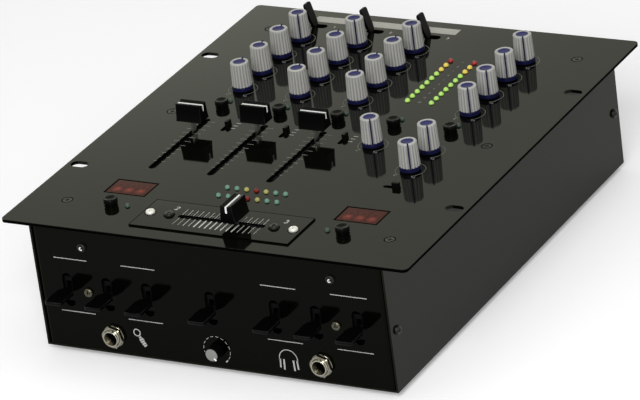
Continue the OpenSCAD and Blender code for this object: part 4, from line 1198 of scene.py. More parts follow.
@dataclass
class Screws:
    """Cross-recessed screws: black in the plate and the sides, pale or brassy elsewhere.

    A screw is told by its box: one whose X and Y differ by less than `alike` stands upright, and one whose
    top is within `level` of the plate's is flush. Of the raised ones, those more than `pale_beyond` to a side
    are pale. Those of the front that lie above `chip_above` are black with a painted glint: a pale crescent
    that stands in for a highlight on the head.
    """

    bench: Bench
    head_r: float = 2.8
    head_h: float = 1.7
    shank_r: float = 1.5
    shank_l: float = 7.0
    recess: float = 0.42
    recess_r: float = 1.5
    recess_d: float = 0.9
    cup: float = 0.55
    chip_above: float = -20.0
    pale_beyond: float = 40.0
    alike: float = 0.1
    level: float = 0.2

    def build(self) -> None:
        """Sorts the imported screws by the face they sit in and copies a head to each."""
        flush, black, brassy, pale, cups, painted_glints = [], [], [], [], [], []
        plate_top = plate_face()
        for part in solids("case_screws"):
            middle, low, high = part.middle, part.low, part.high
            upright = abs(part.size.x - part.size.y) < self.alike
            if upright and abs(high.z - plate_top) < self.level:
                flush.append(seat((middle.x, middle.y, high.z), RIGHT, UP))
                cups.append(seat((middle.x, middle.y, plate_top), RIGHT, UP))
            elif upright and high.z > plate_top:
                spot = seat((middle.x, middle.y, high.z - self.head_h), RIGHT, UP)
                (pale if abs(middle.x) > self.pale_beyond else black).append(spot)
                cups.append(spot)
            elif upright:
                black.append(seat((middle.x, middle.y, low.z + self.head_h), RIGHT, -UP))
            elif part.size.x > part.size.y:
                side = math.copysign(1, middle.x)
                face = (high.x if side > 0 else low.x) - side * self.head_h
                black.append(seat((face, middle.y, middle.z), BACKWARD, Vector((side, 0, 0))))
            elif middle.y < 0:
                # Upper front screws: black, with a pale crescent as a painted glint that stands in for a
                # highlight.
                glinted = middle.z > self.chip_above
                spot = seat((middle.x, low.y + self.head_h, middle.z), RIGHT, FORWARD)
                (black if glinted else brassy).append(spot)
                if glinted:
                    painted_glints.append(seat((middle.x, low.y, middle.z), RIGHT, FORWARD))
            else:
                brassy.append(seat((middle.x, high.y - self.head_h, middle.z), RIGHT, BACKWARD))
        for name, head, seats, colour in (
            ("plate_screws", self._flush, flush, Colours.SCREW_BLACK),
            ("black_screws", self._pan, black, Colours.SCREW_BLACK),
            ("brassy_screws", self._pan, brassy, Colours.SCREW_BRASSY),
            ("pale_screws", self._pan, pale, Colours.SCREW_PALE),
        ):
            self.bench.copies(name, head(), seats, colour, CASE, "case_screws")
        self.bench.copies("screw_cups", self._cup(), cups, Colours.SEAM_BLACK, CASE)
        # A small pale crescent on each upper front screw: a painted highlight, not wear.
        painted_glint = Shape().stroke(arc((0.1, -0.2), 0.8, 60, 330, 8), 0.6, -0.1, 0.06)
        self.bench.copies("screw_chips", painted_glint, painted_glints, Colours.SCREW_PALE, CASE)

    def _cup(self) -> Shape:
        """The dark gap around a head, as a thin ring on the face."""
        r, out = self.head_r, self.head_r + self.cup
        return Shape().lathe([(r, -0.02), (out, -0.02), (out, 0.04), (r, 0.04)], 36, loop=True)

    def _cross(self, top: float, depth: float) -> list[list[tuple[float, float, float]]]:
        """Returns the rings of a cross recess that sinks from the top.

        Args:
            top: The height of the head's face.
            depth: How deep the recess is.

        Returns:
            The rings of its mouth and its floor.
        """
        rings = []
        for z, reach, half in ((top, self.recess_r, self.recess), (top - depth, 0.5, 0.2)):
            quarter = [(reach, -half), (reach, half), (half, half)]
            ring = [(x * math.cos(a) - y * math.sin(a), x * math.sin(a) + y * math.cos(a), z)
                    for a in (i * TAU / 4 for i in range(4)) for x, y in quarter]
            rings.append(ring)
        return rings

    def _headed(self, profile: list[tuple[float, float]], top: float) -> Shape:
        """Joins a turned head to its recess, with the shank below.

        Args:
            profile: Its points of (radius, height).
            top: The height of the head's face.

        Returns:
            The screw.
        """
        steps = 24
        reach = self.recess_r + 0.1
        shape = Shape().loft(turned(profile, steps), caps=False)
        mouth, floor = self._cross(top, self.recess_d)
        shape.loft([circle(profile[-1][0], steps, top), circle(reach, steps, top)], caps=False)
        shape.loft([circle(reach, 12, top, start=-math.radians(15)), mouth, floor], caps=False)
        shape.mesh.faces.new([shape.mesh.verts.new(p) for p in floor])
        bmesh.ops.remove_doubles(shape.mesh, verts=shape.mesh.verts, dist=WELD)
        return shape

    def _pan(self) -> Shape:
        """A pan head: domed, with its seat at z = 0."""
        dome = [(0.0, -self.shank_l), (self.shank_r, -self.shank_l + 0.6), (self.shank_r, 0.0),
                (self.head_r, 0.0)]
        crown = 1.75
        for i in range(1, 6):
            a = math.radians(90 * i / 6)
            rise = self.head_h * math.sin(a) ** 0.8 * 0.97
            dome.append((crown + (self.head_r - crown) * math.cos(a), rise))
        return self._headed(dome, dome[-1][1])

    def _flush(self) -> Shape:
        """A countersunk head, level with z = 0."""
        cone = [(0.0, -self.shank_l), (self.shank_r, -self.shank_l + 0.6), (self.shank_r, -1.6),
                (self.head_r - 0.1, -0.1), (self.head_r - 0.2, -0.02)]
        return self._headed(cone, -0.02)


# ---------------------------------------------------------------- knobs


@dataclass
class Knobs:
    """The turned and fluted knobs with their coloured skirt, disc and line."""

    bench: Bench
    skirt_gap: float = 0.6
    skirt_h: float = 2.4
    skirt_r: float = 6.2
    foot_r: float = 6.0
    rim_r: float = 5.45
    rim_round: float = 0.7
    disc_r: float = 3.6
    disc_sink: float = 0.5
    line_w: float = 0.9
    nib_h: float = 0.5
    flutes: float = 18.0
    flute_depth: float = 0.5
    flute_end: float = 0.8
    flute_narrow: float = 1.5
    dial_r: float = 8.6
    dial_w: float = 0.2
    dial_h: float = 0.08
    dial_lift: float = 0.02
    shaft_r: float = 3.0
    full_turn: float = 150.0
    channels: tuple[str, ...] = ("gain", "treble", "middle", "bass")
    outputs: tuple[str, ...] = ("master", "balance", "booth", "mic", "cue_mix", "phones", "cue_tone")

    def build(self) -> None:
        """Makes one model of each part and copies it to every knob."""
        self.plate_z = plate_face()
        self.height = extent("gain_knob_1").high.z - self.plate_z
        parts = {"grip": (self._grip(), Colours.GRIP_GREY), "trim": (self._trim(), Colours.TRIM_NAVY),
                 "disc": (self._disc(), Colours.DISC_NAVY),
                 "shaft": (self._shaft(extent("gain_knob_1").low.z - self.plate_z), Colours.STEEL)}
        for name in self.names():
            middle = extent(name).middle
            centred = name.startswith(self.channels[1:])
            turn = Matrix.Rotation(-math.radians(0 if centred else self.full_turn), 4, "Z")
            place = Matrix.Translation((middle.x, middle.y, self.plate_z)) @ turn
            for label, (model, colour) in parts.items():
                self.bench.fit(self.bench.moved_copy(model, f"{name}_{label}", place), colour, name, name)
        for model, _ in parts.values():
            bpy.data.objects.remove(model)
        self._dials()

    @classmethod
    def names(cls) -> list[str]:
        """Returns the nodes of the plate's knobs, channel by channel and then the outputs."""
        names = [f"{kind}_knob_{i}" for i in CHANNELS for kind in cls.channels]
        return names + [f"{kind}_knob" for kind in cls.outputs]

    def _grip(self) -> bpy.types.Object:
        """The grip: a fluted cone with a smooth rim around the sunk disc."""
        foot, top = self.skirt_gap + self.skirt_h, self.height
        side = 8
        profile = [(0.0, foot), (self.foot_r - 0.3, foot)]
        for i in range(side + 1):
            t = i / side
            radius = self.foot_r + (self.rim_r - self.foot_r) * t
            profile.append((radius, foot + 0.15 + (top - 1.0 - foot) * t))
        for i in range(1, 5):
            a = math.radians(22.5 * i)
            radius = self.rim_r - self.rim_round * (1 - math.cos(a))
            profile.append((radius, top - 0.85 + 0.85 * math.sin(a)))
        profile += [(self.disc_r + 0.35, top), (self.disc_r + 0.08, top - 0.15),
                    (self.disc_r, top - self.disc_sink), (0.0, top - self.disc_sink)]
        grip = Shape().lathe(profile, 180).to_object("grip_model")
        inputs = {"Flutes": self.flutes, "Depth": self.flute_depth * MM, "Rim": (top - 0.45) * MM,
                  "Run Out": self.flute_end * MM, "Narrowness": self.flute_narrow,
                  "Material": self.bench.material(Colours.GRIP_GREY)}
        run_tree(grip, self.bench.trees.flutes, inputs)
        grip.data.set_sharp_from_angle(angle=SMOOTH_ANGLE)
        return grip

    def _trim(self) -> bpy.types.Object:
        """The skirt and the line with its nib."""
        gap, foot, top = self.skirt_gap, self.skirt_gap + self.skirt_h, self.height
        shape = Shape()
        shape.lathe([(self.shaft_r + 0.05, gap), (self.skirt_r - 0.15, gap), (self.skirt_r, gap + 0.2),
                     (self.skirt_r - 0.05, foot - 0.3), (self.skirt_r - 0.25, foot),
                     (self.shaft_r + 0.05, foot)], 60, loop=True)
        floor = top - self.disc_sink
        half = self.line_w / 2
        rim, nib = self.rim_r, self.nib_h
        outline = [(self.disc_r - 0.4, floor - 0.1), (rim - 0.6, floor - 0.1), (self.foot_r - 0.6, foot),
                   (self.foot_r + 0.06, foot), (rim + 0.08, top - 1.1), (rim - 0.02, top - 0.25),
                   (rim - 0.35, top + nib), (rim - 0.85, top + nib * 0.9), (self.disc_r + 0.3, top + 0.05),
                   (self.disc_r - 0.4, floor + 0.3)]
        shape.loft([[(x, y, z) for y, z in outline] for x in (-half, half)])
        return shape.to_object("trim_model")

    def _disc(self) -> bpy.types.Object:
        """The dished disc in the grip's top."""
        floor, r = self.height - self.disc_sink, self.disc_r
        profile = [(0.0, floor - 0.2), (r - 0.05, floor - 0.2), (r - 0.05, floor + 0.26),
                   (r - 0.5, floor + 0.2), (r * 0.5, floor + 0.05), (0.0, floor)]
        return Shape().lathe(profile, 48).to_object("disc_model")

    def _shaft(self, foot: float) -> bpy.types.Object:
        """The steel shaft from the potentiometer up into the grip."""
        r, top = self.shaft_r, self.skirt_gap + self.skirt_h + 0.1
        profile = [(0.0, foot), (r - 0.3, foot), (r, foot + 0.3), (r, top), (0.0, top)]
        return Shape().lathe(profile, 32).to_object("shaft_model")

    def _dials(self) -> None:
        """Prints the arcs around the knobs."""
        middles = [extent(name).middle for name in self.names()]
        level = self.plate_z + self.dial_lift
        points = mesh_object("dial_arcs", [Vector((m.x, m.y, level)) * MM for m in middles], [])
        inputs = {"Radius": self.dial_r * MM, "Width": self.dial_w * MM, "Height": self.dial_h * MM,
                  "Material": self.bench.material(Colours.PRINT_FAINT)}
        self.bench.fit(run_tree(points, self.bench.trees.dials, inputs), Colours.PRINT_FAINT, CASE)


@dataclass
class CurveKnob:
    """The small knob on the front that sets the crossfader's curve."""

    bench: Bench
    radius: float = 4.5
    gap: float = 0.6
    face_sink: float = 0.5
    nib_w: float = 0.9
    shaft_r: float = 3.0
    shaft_l: float = 11.7
    turn: float = 140.0

    def build(self) -> None:
        """Turns the knob about its axis, which points forwards."""
        box = extent("curve_knob")
        face_y = front_face()
        height = face_y - box.low.y
        place = seat((box.middle.x, face_y, box.middle.z), RIGHT, FORWARD)
        place = place @ Matrix.Rotation(-math.radians(self.turn), 4, "Z")
        r = self.radius
        body = Shape(place).lathe([(0.0, self.gap), (r - 0.1, self.gap), (r, self.gap + 0.3),
                                   (r - 0.3, height - 0.25), (r - 0.5, height), (r - 0.75, height),
                                   (r - 0.85, height - self.face_sink), (0.0, height - self.face_sink)], 48)
        name = "curve_knob"
        self.bench.mould(body, "curve_knob_body", Colours.SWITCH_BLACK, name, name)
        sunk = height - self.face_sink - 0.1
        face = Shape(place).lathe([(0.0, sunk), (r - 0.87, sunk), (r - 0.87, height + 0.02),
                                   (r - 1.1, height + 0.12), (0.0, height + 0.18)], 48)
        self.bench.mould(face, "curve_knob_face", Colours.CURVE_FACE, name, name)
        nib = Shape(place).block(self.nib_w, 1.8, height - 0.3, height + 0.22, (0, r - 1.3)).bevel(0.08, 1)
        self.bench.mould(nib, "curve_knob_nib", Colours.CAP_LINE, name, name)
        end, shaft_r, start = -self.shaft_l, self.shaft_r, self.gap + 0.1
        shaft = Shape(place).lathe([(0.0, end), (shaft_r, end), (shaft_r, start), (0.0, start)], 32)
        self.bench.mould(shaft, "curve_knob_shaft", Colours.STEEL, name, name)


# ---------------------------------------------------------------- faders


@dataclass
class Faders:
    """The caps of the three channel faders and the crossfader, on their steel stems."""

    bench: Bench
    cap_w: float = 16.0
    foot_half: float = 5.0
    waist_half: float = 3.95
    top_half: float = 3.5
    groove_half: float = 0.55
    groove: float = 1.0
    cap_h: float = 10.5
    edge: float = 0.3
    line_drop: float = 4.6
    stem: tuple[float, float] = (1.4, 4.0)
    shoe: tuple[float, float] = (8.4, 9.0)

    def build(self) -> None:
        """Builds each cap with its travel along its own Y axis."""
        plate_z = plate_face()
        ways = {f"channel_fader_{i}": RIGHT for i in CHANNELS} | {"crossfader": BACKWARD}
        for name, across in ways.items():
            box = extent(name)
            self._fader(name, box, seat((box.middle.x, box.middle.y, plate_z), across, UP))

    def _fader(self, name: str, box: Extent, place: Matrix) -> None:
        """Builds the cap, the line and the stem of one fader.

        Args:
            name: The node and body.
            box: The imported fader's box.
            place: The frame on the plate, with X across the travel.
        """
        top = box.high.z - place.translation.z
        foot = top - self.cap_h
        waist = foot + self.cap_h * 0.5
        end, g = self.cap_w / 2, self.groove_half
        half = [(g, top - self.groove), (self.top_half - 1.3, top - 0.35), (self.top_half - 0.4, top),
                (self.top_half, top - 0.3), (self.waist_half, waist), (self.foot_half - 0.4, foot + 1.4),
                (self.foot_half, foot)]
        section = half + [(-y, z) for y, z in reversed(half)]
        cap = Shape(place).loft([[(x, y, z) for y, z in section] for x in (-end, end)]).bevel(self.edge, 2)
        self.bench.mould(cap, name + "_cap", Colours.CAP_BLACK, name, name, weighted=True)
        line = Shape(place)
        line.block(2 * end - 0.2, 2 * g, top - self.groove - 0.1, top - self.groove + 0.12)
        for side in (-1, 1):
            line.block(0.16, 2 * g, top - self.line_drop, top - self.groove + 0.1, (side * end, 0))
        self.bench.mould(line, name + "_line", Colours.CAP_LINE, name, name)
        low = box.low.z - place.translation.z
        steel = Shape(place).block(*self.stem, low + 0.1, foot + 4.0).block(*self.shoe, low, low + 4.0)
        self.bench.mould(steel.bevel(0.15, 1), name + "_stem", Colours.STEEL, name, name)


# ---------------------------------------------------------------- levers, buttons and switches


@dataclass
class Levers:
    """Flat levers: a paddle that flares from its root at the panel, on a narrow neck with a round hub."""

    bench: Bench
    thick: float = 1.9
    neck_half: float = 1.2
    hub_r: float = 2.7
    hub_proud: float = 0.2
    pivot_depth: float = 9.0
    shoulder: float = 8.3
    kill: tuple[float, float, float] = (18.0, 2.8, 5.3)
    source: tuple[float, float, float] = (15.5, 2.2, 3.3)
    lean: float = 16.0
    corner: float = 1.6
    edge: float = 0.35
    kills: tuple[str, ...] = ("bass_kill_left", "middle_kill_left", "treble_kill_left", "reverse_lever",
                              "bass_kill_right", "middle_kill_right", "treble_kill_right")

    def build(self) -> None:
        """Cuts the levers of the front and the input levers of the plate."""
        face_y, plate_z = front_face(), plate_face()
        for name in self.kills:
            middle = extent(name).middle
            place = seat((middle.x, face_y + self.pivot_depth, middle.z), RIGHT, UP)
            self._lever(name, place, -1, *self.kill)
        lean = math.radians(self.lean)
        for i in CHANNELS:
            name = f"input_lever_{i}"
            box = extent(name)
            pivot = Vector((box.high.x - self.hub_r, box.middle.y, plate_z - self.pivot_depth))
            along = Vector((-math.sin(lean), 0, math.cos(lean)))
            place = seat(pivot, BACKWARD, along.cross(BACKWARD) * -1)
            self._lever(name, place, 1, *self.source)

    def _lever(self, name: str, place: Matrix, way: int, reach: float, root: float, tip: float) -> None:
        """Builds one lever.

        Args:
            name: The node and body.
            place: The frame at the pivot, with the lever in its plane.
            way: Which way along the frame's Y the lever points.
            reach: How far it stands out of its panel.
            root: Half its width where it leaves the panel.
            tip: Half the width of its tip.
        """
        length = self.pivot_depth + reach
        flank = [(self.neck_half, 0.0), (self.neck_half, self.shoulder), (root, self.shoulder)]
        foot, flare = self.pivot_depth + 0.4, reach * 0.32
        for i in range(6):
            t = i / 5
            flank.append((root + (tip - root) * math.sin(t * TAU / 4) ** 0.9, foot + (flare - 0.4) * t))
        for i in range(5):
            a = TAU / 4 * i / 4
            flank.append((tip - self.corner * (1 - math.cos(a)), length - self.corner * (1 - math.sin(a))))
        outline = [(x, way * y) for x, y in flank] + [(-x, way * y) for x, y in reversed(flank)]
        shape = Shape(place).prism(outline, -self.thick / 2, self.thick / 2).bevel(self.edge, 2)
        half = self.thick / 2 + self.hub_proud
        shape.lathe([(0.0, -half), (self.hub_r, -half), (self.hub_r, half), (0.0, half)], 28)
        self.bench.mould(shape, name + "_paddle", Colours.LEVER_BLACK, name, name, weighted=True)


@dataclass
class Buttons:
    """Round buttons with a dished top and a crisp edge."""

    bench: Bench
    radius: float = 3.5
    dish: float = 0.9
    dish_r: float = 3.2
    cap_r: float = 4.0
    brim: float = 1.7
    lip_r: float = 4.3
    stem: float = 3.0
    names: tuple[str, ...] = ("cue_button_1", "cue_button_2", "cue_button_3", "cue_button_4", "cue_button_5",
                              "beat_button_left", "beat_button_right")

    def build(self) -> None:
        """Turns one model and copies it to each button."""
        plate_z = plate_face()
        box = extent(self.names[0])
        top, foot, r = box.high.z - plate_z, box.low.z - plate_z, self.radius
        dish = [(self.dish_r * (1 - i / 5), top - self.dish * math.sin(math.radians(18 * i)))
                for i in range(6)]
        cap, brim = self.cap_r, self.brim
        profile = [(0.0, -3.3), (self.lip_r, -3.3), (self.lip_r, -2.3), (r, -2.3), (r, brim),
                   (cap, brim + 0.05), (cap, top - 0.6), (cap - 0.15, top - 0.3), (cap - 0.45, top - 0.03),
                   (self.dish_r + 0.15, top)] + dish
        shape = Shape().lathe(profile, 48).block(self.stem, self.stem, foot, -3.2)
        model = shape.to_object("button_model")
        for name in self.names:
            middle = extent(name).middle
            place = Matrix.Translation((middle.x, middle.y, plate_z))
            copy = self.bench.moved_copy(model, name + "_cap", place)
            self.bench.fit(copy, Colours.LEVER_BLACK, name, name)
        bpy.data.objects.remove(model)


@dataclass
class Switches:
    """The slide switches and the power rocker."""

    bench: Bench
    edge: float = 0.25
    slides: tuple[str, ...] = ("assign_switch_1", "assign_switch_2", "assign_switch_3", "meter_switch")

    def build(self) -> None:
        """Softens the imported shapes."""
        for name in self.slides:
            self.bench.fit(softened_copy(name, name + "_knob", self.edge), Colours.SWITCH_BLACK, name, name)
        name = "power_rocker"
        self.bench.fit(softened_copy(name, "power_rocker_cap", self.edge), Colours.SWITCH_BLACK, name, name)


# ---------------------------------------------------------------- lamps and displays


@dataclass
class Lamps:
    """The lamps, sorted by colour, with a domed lens and steel leads."""

    bench: Bench
    radius: float = 1.5
    rise: float = 1.7
    lip_r: float = 1.9
    meter_colours: tuple[str, ...] = ("GREEN",) * 7 + ("AMBER",) * 2 + ("RED",)
    meter_from: float = 40.0
    meter_reach: float = 9.0
    row_reach: float = 25.0
    rows_below: float = -70.0
    row_colours: tuple[str, ...] = ("GREEN", "GREEN", "AMBER", "RED", "AMBER", "GREEN", "GREEN")

    def build(self) -> None:
        """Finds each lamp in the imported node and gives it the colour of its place."""
        plate_z = plate_face()
        middles = [lamp.middle for lamp in solids("lamps")]
        centre = self._meter_x(middles)
        meters = self._columns([m for m in middles
                                if m.y > self.meter_from and abs(m.x - centre) < self.meter_reach])
        rows = sorted((m for m in middles if abs(m.x) < self.row_reach and m.y < self.rows_below),
                      key=lambda m: (round(m.y), m.x))
        used = {id(m) for column in meters for m in column} | {id(m) for m in rows}
        groups: dict[Colours, list[Vector]] = {}
        for column in meters:
            for i, middle in enumerate(column):
                groups.setdefault(Colours[f"LAMP_LIT_{self.meter_colours[i]}"], []).append(middle)
        for i, middle in enumerate(rows):
            shade = self.row_colours[i % len(self.row_colours)]
            groups.setdefault(Colours[f"LAMP_DULL_{shade}"], []).append(middle)
        for middle in middles:
            if id(middle) not in used:
                groups.setdefault(Colours.LAMP_DULL_TEAL, []).append(middle)
        for colour, places in groups.items():
            seats = [seat((m.x, m.y, plate_z), RIGHT, UP) for m in places]
            self.bench.copies(colour.value.name + "s", self._lens(), seats, colour, CASE, "lamps")
        seats = [seat((m.x, m.y, plate_z), RIGHT, UP) for m in middles]
        self.bench.copies("lamp_leads", self._leads(), seats, Colours.STEEL, CASE, "lamps")

    @staticmethod
    def _meter_x(middles: list[Vector]) -> float:
        """The middle between the two meter columns."""
        columns = [m.x for m in middles if m.y > 60]
        return sum(columns) / len(columns)

    @staticmethod
    def _columns(lamps: list[Vector]) -> list[list[Vector]]:
        """Splits the meter lamps into a left and a right column, each from low to high."""
        line = sum(m.x for m in lamps) / len(lamps)
        return [sorted((m for m in lamps if (m.x > line) == right), key=lambda m: m.y)
                for right in (False, True)]

    def _lens(self) -> Shape:
        """A lamp body with a lip under the plate and a dome above it."""
        profile = [(0.0, -2.8), (self.lip_r, -2.8), (self.lip_r, -2.05), (self.radius, -2.05),
                   (self.radius, self.rise - self.radius)]
        for i in range(1, 7):
            a = math.radians(15 * i)
            profile.append((self.radius * math.cos(a) if i < 6 else 0.0,
                            self.rise - self.radius + self.radius * math.sin(a)))
        return Shape().lathe(profile, 20)

    @staticmethod
    def _leads() -> Shape:
        """Two leads down to the board."""
        return Shape().block(0.5, 0.5, -14, -2.7, (-0.9, 0)).block(0.5, 0.5, -14, -2.7, (0.9, 0))


SEGMENTS = (
    ((0.12, 1.0), (0.88, 1.0)), ((0.93, 0.95), (0.93, 0.55)), ((0.93, 0.45), (0.93, 0.05)),
    ((0.12, 0.0), (0.88, 0.0)), ((0.07, 0.45), (0.07, 0.05)), ((0.07, 0.95), (0.07, 0.55)),
    ((0.12, 0.5), (0.88, 0.5)),
)


@dataclass
class Displays:
    """The two dark red windows with three unlit digits each and a dark line along their rims."""

    bench: Bench
    digit_w: float = 4.6
    digit_h: float = 8.0
    pitch: float = 7.4
    bar: float = 0.7
    edge: float = 0.15
    rim_w: float = 0.9
    flange: float = 1.55
    digits: int = 3
    sunk: float = 0.05
    proud: float = 0.02

    def build(self) -> None:
        """Softens the windows and lays the segments and the rims into their faces."""
        self.bench.fit(softened_copy("display_windows", "red_windows", self.edge), Colours.RED_WINDOW, CASE,
                       "display_windows")
        windows = sorted(solids("display_windows"), key=lambda w: w.middle.x)
        unlit, rims = Shape(), Shape()
        for window in windows:
            for k in range(self.digits):
                aside = (k - 1) * self.pitch - self.digit_w / 2
                corner = window.middle + Vector((aside, -self.digit_h / 2, 0))
                for bar in SEGMENTS:
                    line = [(corner.x + x * self.digit_w, corner.y + y * self.digit_h) for x, y in bar]
                    unlit.stroke(line, self.bar, window.high.z - self.sunk, window.high.z + self.proud)
            rims.stroke(rim_of(window, self.flange + self.rim_w / 2), self.rim_w, window.high.z - 0.15,
                        window.high.z + 0.05, loop=True)
        self.bench.mould(unlit, "digits_unlit", Colours.SEGMENT_UNLIT, CASE)
        self.bench.mould(rims, "window_rims", Colours.SEAM_BLACK, CASE)


# ---------------------------------------------------------------- sockets


@dataclass
class JackSockets:
    """The two jack sockets of the front: a threaded sleeve, a washer, a hexagon nut and the body."""

    bench: Bench
    bore_r: float = 3.25
    mouth_r: float = 4.0
    mouth_l: float = 2.2
    sleeve_r: float = 4.7
    sleeve_l: float = 4.5
    thread_pitch: float = 0.7
    washer_r: float = 6.5
    washer_t: float = 0.8
    nut_flats: float = 12.0
    nut_t: float = 2.2
    body: tuple[float, float, float] = (14.0, 13.0, 28.0)

    def build(self) -> None:
        """Copies each part to both sockets."""
        face_y = front_face()
        seats = [seat((s.middle.x, face_y, s.middle.z), RIGHT, FORWARD) for s in self._places()]
        for name, shape, colour in (
            ("jack_sleeves", self._sleeve(), Colours.NICKEL),
            ("jack_nuts", self._nut(), Colours.NUT_NICKEL),
            ("jack_washers", self._washer(), Colours.NUT_NICKEL),
            ("jack_bodies", self._body(), Colours.SWITCH_BLACK),
        ):
            self.bench.copies(name, shape, seats, colour, CASE, "front_sockets")

    @staticmethod
    def _places() -> list[Extent]:
        """One box for each socket: the deepest of its solids."""
        parts = sorted(solids("front_sockets"), key=lambda s: -s.size.y)
        return sorted(parts[:2], key=lambda s: s.middle.x)

    def _sleeve(self) -> Shape:
        """The sleeve: threaded outside, smooth and flared inside, with a bright rolled lip."""
        r, top = self.sleeve_r, self.sleeve_l
        outside = [(r - 0.35, -1.0)]
        z = 0.0
        while z < top - 1.2:
            outside += [(r, z + 0.25 * self.thread_pitch), (r - 0.3, z + 0.75 * self.thread_pitch)]
            z += self.thread_pitch
        lip = [(r - 0.1, top - 0.8), (r, top - 0.45), (r - 0.08, top - 0.12), (r - 0.25, top)]
        inner = top - self.mouth_l
        inside = [(self.mouth_r + 0.1, top), (self.mouth_r, top - 0.2), (self.mouth_r - 0.15, inner),
                  (self.bore_r, inner - 1.0), (self.bore_r, -1.0)]
        return Shape().lathe(outside + lip + inside, 48, loop=True)

    def _nut(self) -> Shape:
        """The nut: six flats with chamfered corners, bored for the sleeve."""
        low, high = self.washer_t, self.washer_t + self.nut_t
        corner = self.nut_flats / 2 / math.cos(math.radians(30))
        steps = 48

        def hexagon(z: float, cut: float) -> list[tuple[float, float, float]]:
            """A hexagon whose corners are cut to a round of radius `cut`."""
            ring = []
            for i in range(steps):
                a = TAU * i / steps
                flat = (a + math.radians(15)) % (TAU / 6) - TAU / 12
                r = min(self.nut_flats / 2 / math.cos(flat), cut)
                ring.append((r * math.cos(a), r * math.sin(a), z))
            return ring

        bore = self.sleeve_r + 0.05
        rings = [circle(bore, steps, low), hexagon(low, corner - 0.35), hexagon(low + 0.3, corner),
                 hexagon(high - 0.45, corner), hexagon(high, corner - 0.75), circle(bore + 0.35, steps, high),
                 circle(bore, steps, high - 0.35)]
        return Shape().loft(rings, loop=True)

    def _washer(self) -> Shape:
        """The washer under the nut."""
        r, t = self.washer_r, self.washer_t
        return Shape().lathe([(self.sleeve_r + 0.1, 0.0), (r, 0.0), (r, t - 0.15), (r - 0.15, t),
                              (self.sleeve_r + 0.1, t)], 48, loop=True)

    def _body(self) -> Shape:
        """The black body behind the panel, bored for a plug."""
        w, h, depth = self.body
        corners = [(w / 2, -h / 2), (w / 2, h / 2), (-w / 2, h / 2), (-w / 2, -h / 2)]
        outline = []
        for (x0, y0), (x1, y1) in zip(corners, corners[1:] + corners[:1]):
            outline += [(x0 + (x1 - x0) * i / 6, y0 + (y1 - y0) * i / 6) for i in range(6)]
        turn = math.atan2(outline[0][1], outline[0][0])
        bore, front = self.bore_r, -1.25
        rings = [[(x, y, front) for x, y in outline], [(x, y, -depth) for x, y in outline],
                 [Vector((0, 0, -depth))]]
        inner = [circle(bore, 24, -depth + 1, turn), circle(bore, 24, front, turn)]
        shape = Shape().loft(rings, caps=False)
        shape.loft([[Vector((0, 0, -depth + 1))], inner[0], inner[1], rings[0]], caps=False)
        bmesh.ops.remove_doubles(shape.mesh, verts=shape.mesh.verts, dist=WELD)
        return shape


